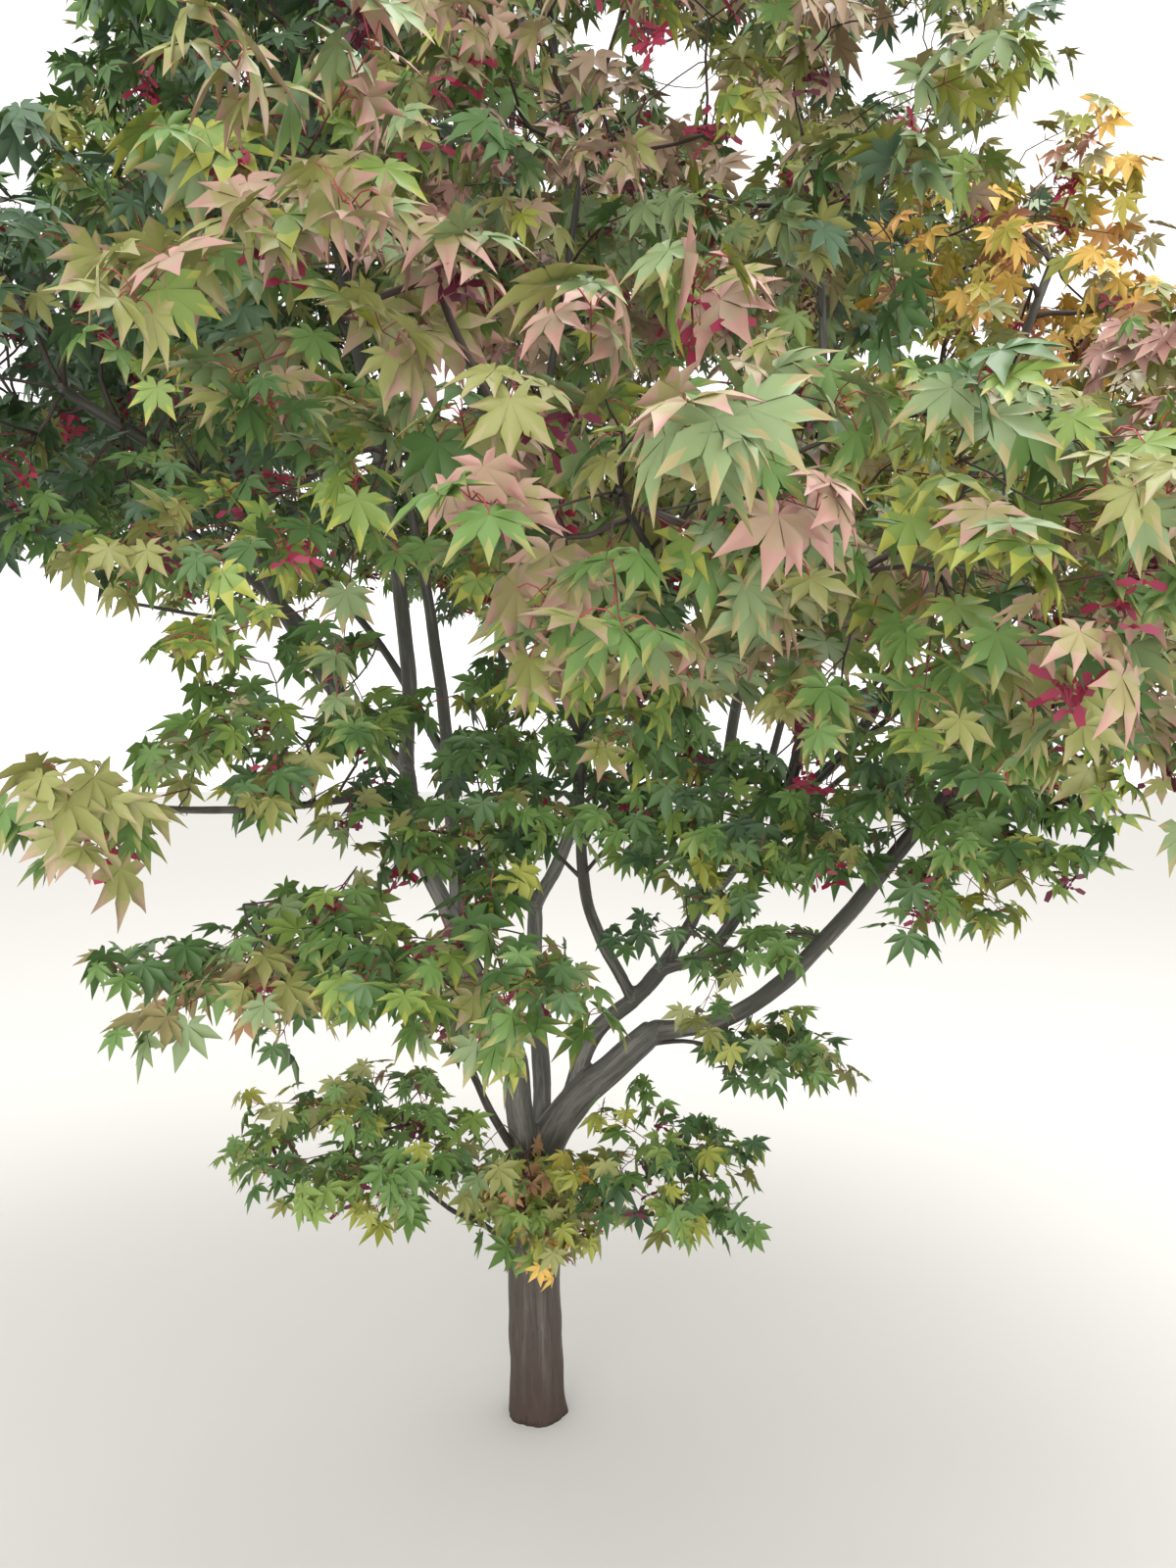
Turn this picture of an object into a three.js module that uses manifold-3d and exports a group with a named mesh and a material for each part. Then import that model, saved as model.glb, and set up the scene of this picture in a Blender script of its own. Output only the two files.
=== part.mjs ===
// Japanese maple tree, about four metres tall and wide: trunk, boughs and masses of foliage.
// Millimetres, +Z up. The origin is the middle of the flat cut under the trunk.
// The front of the crown faces -Y, and +X is to the right of it.

import * as THREE from 'three';
import { mergeVertices } from 'three/addons/utils/BufferGeometryUtils.js';
import Module from 'manifold-3d';

const wasm = await Module();
wasm.setup();

// Driving dimensions of the trunk
const TRUNK_HEIGHT = 620;        // ground to the crotch of the fork
const TRUNK_RADIUS = 61;         // above the root flare
const TRUNK_TOP_RADIUS = 50;     // just under the fork
const SHOULDER_HEIGHT = 380;     // the trunk starts to narrow here
const FLARE = 8;                 // how far the root flare stands out at the ground
const FLARE_HEIGHT = 55;         // height over which the flare dies away
const ROOT_RIDGES = 5;           // low ridges round the foot
const RIDGE_SHARE = 0.35;        // how much the flare differs between ridge and hollow
const LEAN = -18;                // the fork lies this far to the left of the foot
const TRUNK_SIDES = 16;
const TRUNK_ROWS = 8;

// Driving dimensions shared by all limbs and masses
const GAP = 0.3;                 // clear space between two solids that meet
const LIMB_SIDES = 6;
const LIMB_STEP = 210;           // length of limb to one row of facets
const COLLAR = 0.22;             // a limb is this much thicker where it leaves its parent
const COLLAR_LENGTH = 2.5;       // and thins to its own size within this many radii
const MASS_DETAIL = 2;           // how often the faces of a mass are divided
const SPRAY_DETAIL = 1;          // and those of a small spray
const SPRAY_WIDTH = 270;         // a mass is a small spray up to this half width
const LOBES = 3;                 // big lobes round a mass
const LOBE_RISE = 0.11;          // how far they stand out, as a share of the radius
const BUMP_RISE = 0.11;          // the same for the smaller bumps between them
const BUMPS = [4, 5, 3];         // how closely the bumps follow each other along X, Y and Z
const NEXT_TURN = 2.4;           // lobes and bumps shift by this from one mass to the next
const FLAT_BELOW = 0.82;         // foliage hangs in layers, so a mass is flatter underneath

const TRUNK_BARK = '#6b5448';
const BOUGH_BARK = '#6e6862';
const BRANCH_BARK = '#4a4c44';
const BOUGH_RADIUS = 12;         // thicker limbs have the bark of a bough, thinner that of a branch

const BARK_ROUGHNESS = 0.85;
const LEAF_ROUGHNESS = 0.7;

// Each limb leaves its parent at a share of the parent's length, runs by the points given
// and ends at a tip of its own, or inside the mass named in "into". Radii are at its two ends.
const LIMBS = [
  { name: 'bough_right', from: 'trunk', at: 0.9, radius: [43, 29],
    by: [[52, 0, 685], [110, -25, 766], [185, -50, 838]], tip: [271, -90, 930] },
  { name: 'stem_left', from: 'trunk', at: 0.88, radius: [33, 25],
    by: [[-40, -30, 730], [-50, -35, 845], [-125, -50, 985]], tip: [-172, -70, 1140] },
  { name: 'stem_centre', from: 'trunk', at: 0.9, radius: [24, 18],
    by: [[11, 60, 710], [-7, 110, 930]], tip: [-12, 160, 1185] },

  { name: 'stem_left_front', from: 'stem_left', at: 0.97, radius: [20, 9],
    by: [[-238, -140, 1312], [-266, -180, 1500], [-258, -215, 1705], [-280, -350, 2050]],
    into: 'left_top_front' },
  { name: 'stem_left_back', from: 'stem_left', at: 0.97, radius: [18, 8],
    by: [[-193, 40, 1291], [-230, 150, 1650], [-380, 400, 2300]], into: 'back_high_left' },
  { name: 'bough_left', from: 'stem_left_front', at: 0.30, radius: [17, 8],
    by: [[-350, -220, 1617], [-449, -440, 1792], [-496, -640, 1973]], into: 'left_front' },
  { name: 'bough_left_outer', from: 'stem_left_front', at: 0.24, radius: [15, 8],
    by: [[-351, -90, 1571], [-439, 10, 1659], [-534, 90, 1818]], into: 'left' },
  { name: 'branch_left_spray', from: 'stem_left_front', at: 0.215, radius: [8, 4],
    by: [[-330, -700, 1465], [-350, -1190, 1484]], into: 'left_spray' },
  { name: 'branch_left_droop', from: 'trunk', at: 0.9, radius: [10, 5],
    by: [[-98, -90, 735], [-150, -240, 933], [-190, -440, 1110]], into: 'left_drooping' },
  { name: 'bough_back_left', from: 'stem_left_back', at: 0.22, radius: [12, 7],
    by: [[-450, 400, 1850]], into: 'back_left' },

  { name: 'stem_centre_top', from: 'stem_centre', at: 0.97, radius: [17, 8],
    by: [[49, 210, 1275], [90, 260, 1403], [110, 230, 2000], [80, 150, 2800]], into: 'top' },
  { name: 'stem_centre_front', from: 'stem_centre', at: 0.94, radius: [11, 6],
    by: [[-42, 130, 1319], [-60, 60, 1430], [-70, -200, 2300]], into: 'top' },
  { name: 'bough_back', from: 'stem_centre_top', at: 0.12, radius: [12, 7],
    by: [[100, 650, 1800]], into: 'back' },

  { name: 'bough_right_outer', from: 'bough_right', at: 0.97, radius: [20, 9],
    by: [[386, -170, 956], [479, -290, 1040], [586, -490, 1217], [679, -690, 1420],
      [765, -790, 1550]], into: 'right_front' },
  { name: 'bough_right_side', from: 'bough_right_outer', at: 0.64, radius: [11, 7],
    by: [[830, -560, 1640], [1000, -400, 1830]], into: 'right' },
  { name: 'bough_inner', from: 'bough_right', at: 0.38, radius: [22, 18],
    by: [[126, -20, 886], [230, -70, 995]], tip: [293, -110, 1077] },
  { name: 'bough_inner_right', from: 'bough_inner', at: 0.96, radius: [15, 8],
    by: [[372, -160, 1106], [448, -220, 1224], [518, -310, 1421], [650, -440, 1600]],
    into: 'right_gold' },
  { name: 'branch_inner_up', from: 'bough_inner_right', at: 0.27, radius: [9, 6],
    by: [[543, -440, 1660], [530, -640, 1830]], into: 'right_top_front' },
  { name: 'bough_inner_back', from: 'bough_inner', at: 0.96, radius: [15, 8],
    by: [[362, -90, 1196], [384, -40, 1333], [434, 10, 1500], [520, 0, 2100]],
    into: 'back_high_right' },
  { name: 'branch_back_right', from: 'bough_inner_back', at: 0.07, radius: [12, 7],
    by: [[461, 60, 1264], [513, 160, 1330], [700, 500, 1800]], into: 'back_right' },
  { name: 'stem_front', from: 'bough_inner', at: 0.72, radius: [14, 9],
    by: [[146, -190, 1147], [115, -290, 1252], [104, -490, 1420]], tip: [103, -740, 1596] },
  { name: 'stem_front_left', from: 'stem_front', at: 0.97, radius: [7, 5],
    by: [[80, -840, 1649], [40, -920, 1850]], into: 'centre_top_front' },
  { name: 'stem_front_right', from: 'stem_front', at: 0.97, radius: [6, 4],
    by: [[150, -840, 1634], [226, -1090, 1727]], into: 'front_centre' },

  { name: 'shoot_low_left', from: 'trunk', at: 0.54, radius: [7, 4],
    by: [[-108, -90, 475], [-177, -240, 580]], into: 'low_left' },
  { name: 'shoot_low_right', from: 'trunk', at: 0.54, radius: [7, 4],
    by: [[86, -60, 464], [150, -150, 550]], into: 'low_right' },
];

// Each mass of foliage has its middle and its half sizes along X, Y and Z.
const MASSES = [
  { name: 'front_centre', middle: [146, -1580, 1815], half: [190, 280, 190], tint: '#b08a5c' },
  { name: 'front_inner', middle: [230, -1120, 1800], half: [270, 270, 250], tint: '#56743a' },
  { name: 'front_left', middle: [-160, -1540, 2050], half: [170, 230, 165], tint: '#c49a52' },
  { name: 'front_left_low', middle: [-240, -1210, 1860], half: [225, 290, 225], tint: '#5d7a40' },
  { name: 'front_right', middle: [480, -1450, 1760], half: [240, 320, 260], tint: '#8d9440' },
  { name: 'right_front', middle: [960, -1050, 1900], half: [270, 320, 250], tint: '#8a8f3c' },
  { name: 'right_front_low', middle: [740, -1330, 1620], half: [190, 240, 125], tint: '#7f8438' },
  { name: 'left_front', middle: [-640, -1000, 2080], half: [340, 380, 290], tint: '#3f5c3c' },
  { name: 'left_spray', middle: [-370, -1480, 1505], half: [100, 150, 50], tint: '#6d7a44' },

  { name: 'centre_top_front', middle: [110, -880, 2440], half: [340, 590, 330], tint: '#6c8238' },
  { name: 'right_top_front', middle: [480, -820, 2420], half: [240, 480, 300], tint: '#5f7a42' },
  { name: 'left_top_front', middle: [-350, -760, 2680], half: [310, 430, 310], tint: '#44603f' },

  { name: 'inner_left', middle: [-120, -700, 1450], half: [200, 260, 150], tint: '#4c6e3a' },
  { name: 'inner_right', middle: [290, -620, 1450], half: [200, 280, 160], tint: '#4c6e3a' },
  { name: 'left_middle', middle: [-310, -850, 1600], half: [225, 290, 200], tint: '#4f7040' },
  { name: 'right_middle', middle: [620, -850, 1460], half: [240, 300, 215], tint: '#57753c' },
  { name: 'left_drooping', middle: [-360, -950, 1250], half: [215, 250, 105], tint: '#5a7040' },
  { name: 'centre_low', middle: [-40, -1150, 1280], half: [200, 200, 95], tint: '#6d8a44' },
  { name: 'inner_centre', middle: [90, -560, 1640], half: [190, 220, 150], tint: '#4f7040' },
  { name: 'inner_low_right', middle: [400, -430, 1170], half: [210, 180, 150], tint: '#57753c' },

  { name: 'low_left', middle: [-300, -420, 790], half: [265, 220, 150], tint: '#557a3c' },
  { name: 'low_front', middle: [5, -165, 580], half: [130, 140, 115], tint: '#a99a42' },
  { name: 'low_right', middle: [280, -270, 680], half: [185, 180, 140], tint: '#46693a' },
  { name: 'right_low', middle: [500, -150, 900], half: [165, 160, 90], tint: '#6c8a3c' },

  { name: 'left', middle: [-1130, -80, 2310], half: [640, 520, 370], tint: '#44603f' },
  { name: 'right_gold', middle: [1000, -430, 2480], half: [290, 380, 310], tint: '#c79440' },
  { name: 'right', middle: [1190, -130, 2130], half: [640, 520, 370], tint: '#7c8a3a' },
  { name: 'top', middle: [0, -100, 3430], half: [620, 680, 450], tint: '#7c8a3a' },

  { name: 'back_left', middle: [-950, 880, 2300], half: [540, 520, 400], tint: '#4a6840' },
  { name: 'back', middle: [20, 1060, 2250], half: [600, 790, 400], tint: '#5d7a40' },
  { name: 'back_right', middle: [1000, 870, 2250], half: [540, 520, 400], tint: '#6c8238' },
  { name: 'back_high_left', middle: [-650, 420, 2930], half: [570, 830, 400], tint: '#55733e' },
  { name: 'back_high_right', middle: [700, 420, 2960], half: [560, 830, 390], tint: '#6c8238' },
  { name: 'back_high', middle: [20, 900, 2960], half: [520, 680, 380], tint: '#5d7a40' },
];

// A closed three.js geometry as a solid that can be joined and cut
function toSolid(geometry) {
  const bare = geometry.clone();
  bare.deleteAttribute('normal');
  bare.deleteAttribute('uv');
  const merged = mergeVertices(bare, 1e-3);
  const mesh = new wasm.Mesh({
    numProp: 3,
    vertProperties: new Float32Array(merged.attributes.position.array),
    triVerts: new Uint32Array(merged.index.array),
  });
  return new wasm.Manifold(mesh);
}

// A solid back as a three.js geometry
function toGeometry(solid) {
  const mesh = solid.getMesh();
  const geometry = new THREE.BufferGeometry();
  const corners = new THREE.BufferAttribute(new Float32Array(mesh.vertProperties), mesh.numProp);
  geometry.setAttribute('position', corners);
  geometry.setIndex(new THREE.BufferAttribute(new Uint32Array(mesh.triVerts), 1));
  geometry.computeVertexNormals();
  return geometry;
}

// The biggest of the bodies that a cut leaves
function largest(solid) {
  const bodies = solid.decompose();
  return bodies.reduce((best, body) => (body.volume() > best.volume() ? body : best));
}

// Cuts a solid back from its neighbours where it meets them
function cutBack(solid, neighbours) {
  let left = solid;
  for (const neighbour of neighbours) {
    if (left.intersect(neighbour).volume() > 0) {
      left = largest(left.subtract(neighbour));
    }
  }
  return left;
}

// Bends an upright cylinder along a curve, with a radius of its own at each height,
// and grows it on all sides by the same amount
function bentCylinder(curve, radiusAt, sides, rows, grow) {
  const geometry = new THREE.CylinderGeometry(1, 1, 1, sides, rows);
  const frames = curve.computeFrenetFrames(rows, false);
  const position = geometry.attributes.position;
  const corner = new THREE.Vector3();
  for (let i = 0; i < position.count; i += 1) {
    corner.fromBufferAttribute(position, i);
    const share = corner.y + 0.5;
    const row = Math.round(share * rows);
    const angle = Math.atan2(corner.x, corner.z);
    const radius = Math.hypot(corner.x, corner.z) * (radiusAt(share, angle) + grow);
    const place = curve.getPointAt(Math.min(1, Math.max(0, share)));
    const endwards = row === 0 ? -grow : row === rows ? grow : 0;
    place.addScaledVector(frames.tangents[row], endwards);
    place.addScaledVector(frames.normals[row], radius * Math.cos(angle));
    place.addScaledVector(frames.binormals[row], radius * Math.sin(angle));
    position.setXYZ(i, place.x, place.y, place.z);
  }
  return geometry;
}

// The trunk: a flat cut at the ground, low root ridges, a slight waist and a lean to the left
function trunkCurve() {
  const foot = new THREE.Vector3(0, 0, 0);
  const waist = new THREE.Vector3(LEAN / 3, 0, TRUNK_HEIGHT / 2);
  const fork = new THREE.Vector3(LEAN, 0, TRUNK_HEIGHT);
  return new THREE.CatmullRomCurve3([foot, waist, fork]);
}

function trunkRadius(height, angle) {
  const ridge = 1 + RIDGE_SHARE * Math.cos(ROOT_RIDGES * angle);
  const flare = FLARE * ridge * Math.exp(-height / FLARE_HEIGHT);
  const above = Math.max(0, height - SHOULDER_HEIGHT) / (TRUNK_HEIGHT - SHOULDER_HEIGHT);
  const narrow = (TRUNK_RADIUS - TRUNK_TOP_RADIUS) * above * above;
  return TRUNK_RADIUS + flare - narrow;
}

// The trunk's lowest row of corners is set level, which makes its flat cut
function trunkGeometry(grow) {
  const radiusAt = (share, angle) => trunkRadius(share * TRUNK_HEIGHT, angle);
  const geometry = bentCylinder(trunkCurve(), radiusAt, TRUNK_SIDES, TRUNK_ROWS, grow);
  const position = geometry.attributes.position;
  const halfRow = TRUNK_HEIGHT / TRUNK_ROWS / 2;
  for (let i = 0; i < position.count; i += 1) {
    if (position.getZ(i) < halfRow) {
      position.setZ(i, 0);
    }
  }
  return geometry;
}

// A limb's middle line, from inside its parent to its tip or to the middle of its mass
function limbCurve(limb, curves, masses) {
  const parent = curves.get(limb.from);
  const end = limb.tip ?? masses.get(limb.into).middle;
  const stops = [parent.getPointAt(limb.at).toArray(), ...limb.by, end];
  const points = stops.map((stop) => new THREE.Vector3(...stop));
  return new THREE.CatmullRomCurve3(points, false, 'centripetal');
}

function limbGeometry(limb, curve, grow) {
  const [base, tip] = limb.radius;
  const length = curve.getLength();
  const rows = Math.max(4, Math.round(length / LIMB_STEP));
  const radiusAt = (share) => {
    const collar = 1 + COLLAR * Math.exp((-share * length) / (COLLAR_LENGTH * base));
    return (base + (tip - base) * share) * collar;
  };
  return bentCylinder(curve, radiusAt, LIMB_SIDES, rows, grow);
}

// A mass: a ball pushed out into its half sizes, with lobes that differ from mass to mass
function massGeometry(mass, number, grow) {
  const [width, depth, height] = mass.half;
  const detail = width > SPRAY_WIDTH ? MASS_DETAIL : SPRAY_DETAIL;
  const geometry = new THREE.IcosahedronGeometry(1, detail);
  const position = geometry.attributes.position;
  const turn = number * NEXT_TURN;
  const way = new THREE.Vector3();
  for (let i = 0; i < position.count; i += 1) {
    way.fromBufferAttribute(position, i).normalize();
    const round = Math.atan2(way.y, way.x);
    const lobe = Math.sin(LOBES * round + turn) * Math.cos(LOBES * way.z + turn);
    const bump = Math.sin(BUMPS[0] * way.x + turn) * Math.sin(BUMPS[1] * way.y - turn)
      * Math.cos(BUMPS[2] * way.z);
    const swell = 1 + LOBE_RISE * lobe + BUMP_RISE * bump;
    const tall = way.z < 0 ? height * FLAT_BELOW : height;
    const out = new THREE.Vector3(way.x * width, way.y * depth, way.z * tall).multiplyScalar(swell);
    out.setLength(out.length() + grow);
    position.setXYZ(i, out.x + mass.middle[0], out.y + mass.middle[1], out.z + mass.middle[2]);
  }
  return geometry;
}

function piece(name, solid, colour, roughness) {
  const material = new THREE.MeshStandardMaterial({ color: colour, roughness, metalness: 0 });
  const mesh = new THREE.Mesh(toGeometry(solid), material);
  mesh.name = name;
  return mesh;
}

// The tree
const tree = new THREE.Group();
tree.name = 'japanese_maple_tree';

const massByName = new Map(MASSES.map((mass) => [mass.name, mass]));
const grownMasses = new Map();
MASSES.forEach((mass, number) => {
  grownMasses.set(mass.name, toSolid(massGeometry(mass, number, GAP)));
});

// Trunk and limbs: each is cut back from every limb made before it, then ends at its mass

const curves = new Map([['trunk', trunkCurve()]]);
tree.add(piece('trunk', toSolid(trunkGeometry(0)), TRUNK_BARK, BARK_ROUGHNESS));
const grownLimbs = [{ into: null, solid: toSolid(trunkGeometry(GAP)) }];

for (const limb of LIMBS) {
  const curve = limbCurve(limb, curves, massByName);
  curves.set(limb.name, curve);
  const earlier = grownLimbs.map((other) => other.solid);
  let solid = cutBack(toSolid(limbGeometry(limb, curve, 0)), earlier);
  if (limb.into) {
    solid = largest(solid.subtract(grownMasses.get(limb.into)));
  }
  const bark = limb.radius[0] > BOUGH_RADIUS ? BOUGH_BARK : BRANCH_BARK;
  tree.add(piece(limb.name, solid, bark, BARK_ROUGHNESS));
  grownLimbs.push({ into: limb.into, solid: toSolid(limbGeometry(limb, curve, GAP)) });
}

// Masses: each is cut back from those made before it, and round the limbs that only pass by
const madeMasses = [];
MASSES.forEach((mass, number) => {
  const passers = grownLimbs.filter((limb) => limb.into !== mass.name);
  const passing = passers.map((limb) => limb.solid);
  const solid = cutBack(toSolid(massGeometry(mass, number, 0)), [...madeMasses, ...passing]);
  tree.add(piece(mass.name, solid, mass.tint, LEAF_ROUGHNESS));
  madeMasses.push(grownMasses.get(mass.name));
});

export default tree;
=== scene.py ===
# %% [markdown]
# # A maple tree in early autumn
# This lesson grows a garden maple about four metres tall. Its frame, which is loaded first, holds the
# trunk, the main limbs and 34 plain closed solids, one for each mass of foliage. Here the limbs get
# their bark, and each mass is replaced by branches, twigs, leaves and winged seeds.
#
# Plants are a good case for code: a few rules and a seeded random generator make thousands of leaves,
# and the same seed makes the same tree each time.

import math

import bmesh
import bpy
import numpy as np
from mathutils import Matrix, Vector, noise
from mathutils.bvhtree import BVHTree
from mathutils.kdtree import KDTree


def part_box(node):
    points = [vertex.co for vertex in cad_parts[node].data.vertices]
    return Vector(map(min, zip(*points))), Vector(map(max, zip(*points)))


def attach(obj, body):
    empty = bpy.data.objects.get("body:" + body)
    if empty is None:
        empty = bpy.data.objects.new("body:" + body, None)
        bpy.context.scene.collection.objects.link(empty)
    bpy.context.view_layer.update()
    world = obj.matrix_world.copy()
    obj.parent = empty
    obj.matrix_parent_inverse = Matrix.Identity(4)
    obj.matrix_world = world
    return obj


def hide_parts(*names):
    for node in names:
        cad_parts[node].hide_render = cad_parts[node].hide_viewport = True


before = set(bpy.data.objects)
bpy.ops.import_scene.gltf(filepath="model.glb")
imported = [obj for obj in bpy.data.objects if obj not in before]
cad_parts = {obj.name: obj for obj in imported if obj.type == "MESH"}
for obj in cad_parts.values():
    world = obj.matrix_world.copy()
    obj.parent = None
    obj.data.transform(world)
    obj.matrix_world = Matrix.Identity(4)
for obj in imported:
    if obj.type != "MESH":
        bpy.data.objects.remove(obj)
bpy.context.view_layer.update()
SEED = 11
rng = np.random.default_rng(SEED)
noise.seed_set(SEED)         # noise_vector would start from the clock
UP = np.array([0.0, 0.0, 1.0])
LIMB_WORDS = ("trunk", "stem", "bough", "branch", "shoot")
MASSES = sorted(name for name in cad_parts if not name.startswith(LIMB_WORDS))
print(len(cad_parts), "nodes, of which", len(MASSES), "are masses of foliage")

# %% [markdown]
# ## The camera
# The view is from eye height in front of the tree, with the nearest leaves at arm's length.
# The lens is short, so near leaves look far larger than those behind the trunk. The camera is made
# first because the leaves near it get more faces than the rest.

# %% Camera
EYE = np.array([0.119, -2.69, 1.58])
LOOK_DOWN = math.radians(2.39)
LENS_MM, SENSOR_MM = 27, 36
CLIP_START = 0.05


def add_object(name, data):
    made = bpy.data.objects.new(name, data)
    bpy.context.scene.collection.objects.link(made)
    return made


camera_data = bpy.data.cameras.new("camera")
camera_data.lens, camera_data.sensor_width, camera_data.clip_start = LENS_MM, SENSOR_MM, CLIP_START
camera = add_object("camera", camera_data)
camera.location = EYE
camera.rotation_euler = (math.pi / 2 - LOOK_DOWN, 0, 0)
bpy.context.scene.camera = camera
print("camera", round(float(np.linalg.norm(EYE)), 2), "m from the trunk's foot")

# %% [markdown]
# ## Floor and light
# The tree stands on a plain pale floor in even light from all sides. A wide soft lamp in front keeps
# the near leaves clear, a low one reaches in under them, and one above gives the upper sides of the
# leaves a little more light than the undersides, which tells the eye how each leaf hangs.

# %% Floor
FLOOR_SIZE = 60.0
FLOOR_COLOUR, FLOOR_ROUGHNESS = (207, 205, 201), 0.9


def linear(red, green, blue):
    """A colour as a screen shows it, 0 to 255, in the linear values that shaders take."""
    shares = [part / 255 for part in (red, green, blue)]
    return tuple(s / 12.92 if s < 0.04045 else ((s + 0.055) / 1.055) ** 2.4 for s in shares) + (1.0,)


def plain_material(name, colour, roughness):
    material = bpy.data.materials.new(name)
    material.use_nodes = True
    shader = material.node_tree.nodes["Principled BSDF"]
    shader.inputs["Base Color"].default_value = linear(*colour)
    shader.inputs["Roughness"].default_value = roughness
    return material


def object_from(bm, name):
    mesh = bpy.data.meshes.new(name)
    bm.to_mesh(mesh)
    bm.free()
    return add_object(name, mesh)


floor_bm = bmesh.new()
bmesh.ops.create_grid(floor_bm, x_segments=1, y_segments=1, size=FLOOR_SIZE / 2)
floor = object_from(floor_bm, "floor")
floor.data.materials.append(plain_material("floor_paint", FLOOR_COLOUR, FLOOR_ROUGHNESS))
print("a floor of", FLOOR_SIZE, "m")

# %% Light
SKY, SKY_STRENGTH = (1.0, 0.99, 0.975, 1.0), 1.35
# name, place, the point that it faces, width in metres, watts
LAMPS = [
    ("lamp_front", (-2.5, -6.0, 4.0), (0, 0, 1.8), 4.0, 110),
    ("lamp_low", (1.0, -7.0, 0.9), (0, 0, 2.0), 4.0, 230),
    ("lamp_above", (1.5, 0.5, 7.5), (0, 0, 2.0), 5.0, 330),
]

world = bpy.data.worlds.new("sky")
world.use_nodes = True
background = world.node_tree.nodes["Background"]
background.inputs["Color"].default_value = SKY
background.inputs["Strength"].default_value = SKY_STRENGTH
bpy.context.scene.world = world
bpy.context.scene.view_settings.view_transform = "Standard"
for name, place, faced, width, watts in LAMPS:
    light = bpy.data.lights.new(name, "AREA")
    light.shape, light.size, light.energy = "DISK", width, watts
    lamp = add_object(name, light)
    lamp.location = place
    lamp.rotation_mode = "QUATERNION"
    lamp.rotation_quaternion = (Vector(faced) - Vector(place)).to_track_quat("-Z", "Y")
print("sky strength", SKY_STRENGTH, "and", len(LAMPS), "soft lamps")

# %% [markdown]
# ## The routes of the limbs
# A limb is a bent, tapering pole. Its middle line could be drawn as a curve object, but the branches
# that grow from it need to know where it runs, so the line is worked out here. A Catmull-Rom spline
# passes through every point it is given, and its centripetal form makes no loops where two points
# lie close together.
#
# The points are the same as those of the frame's limbs, in millimetres. Each limb starts on its
# parent's line, at a share of the parent's length.

# %% Limb table
MM = 0.001
TRUNK_HEIGHT = 0.62
FORK_LEAN = -0.018

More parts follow.
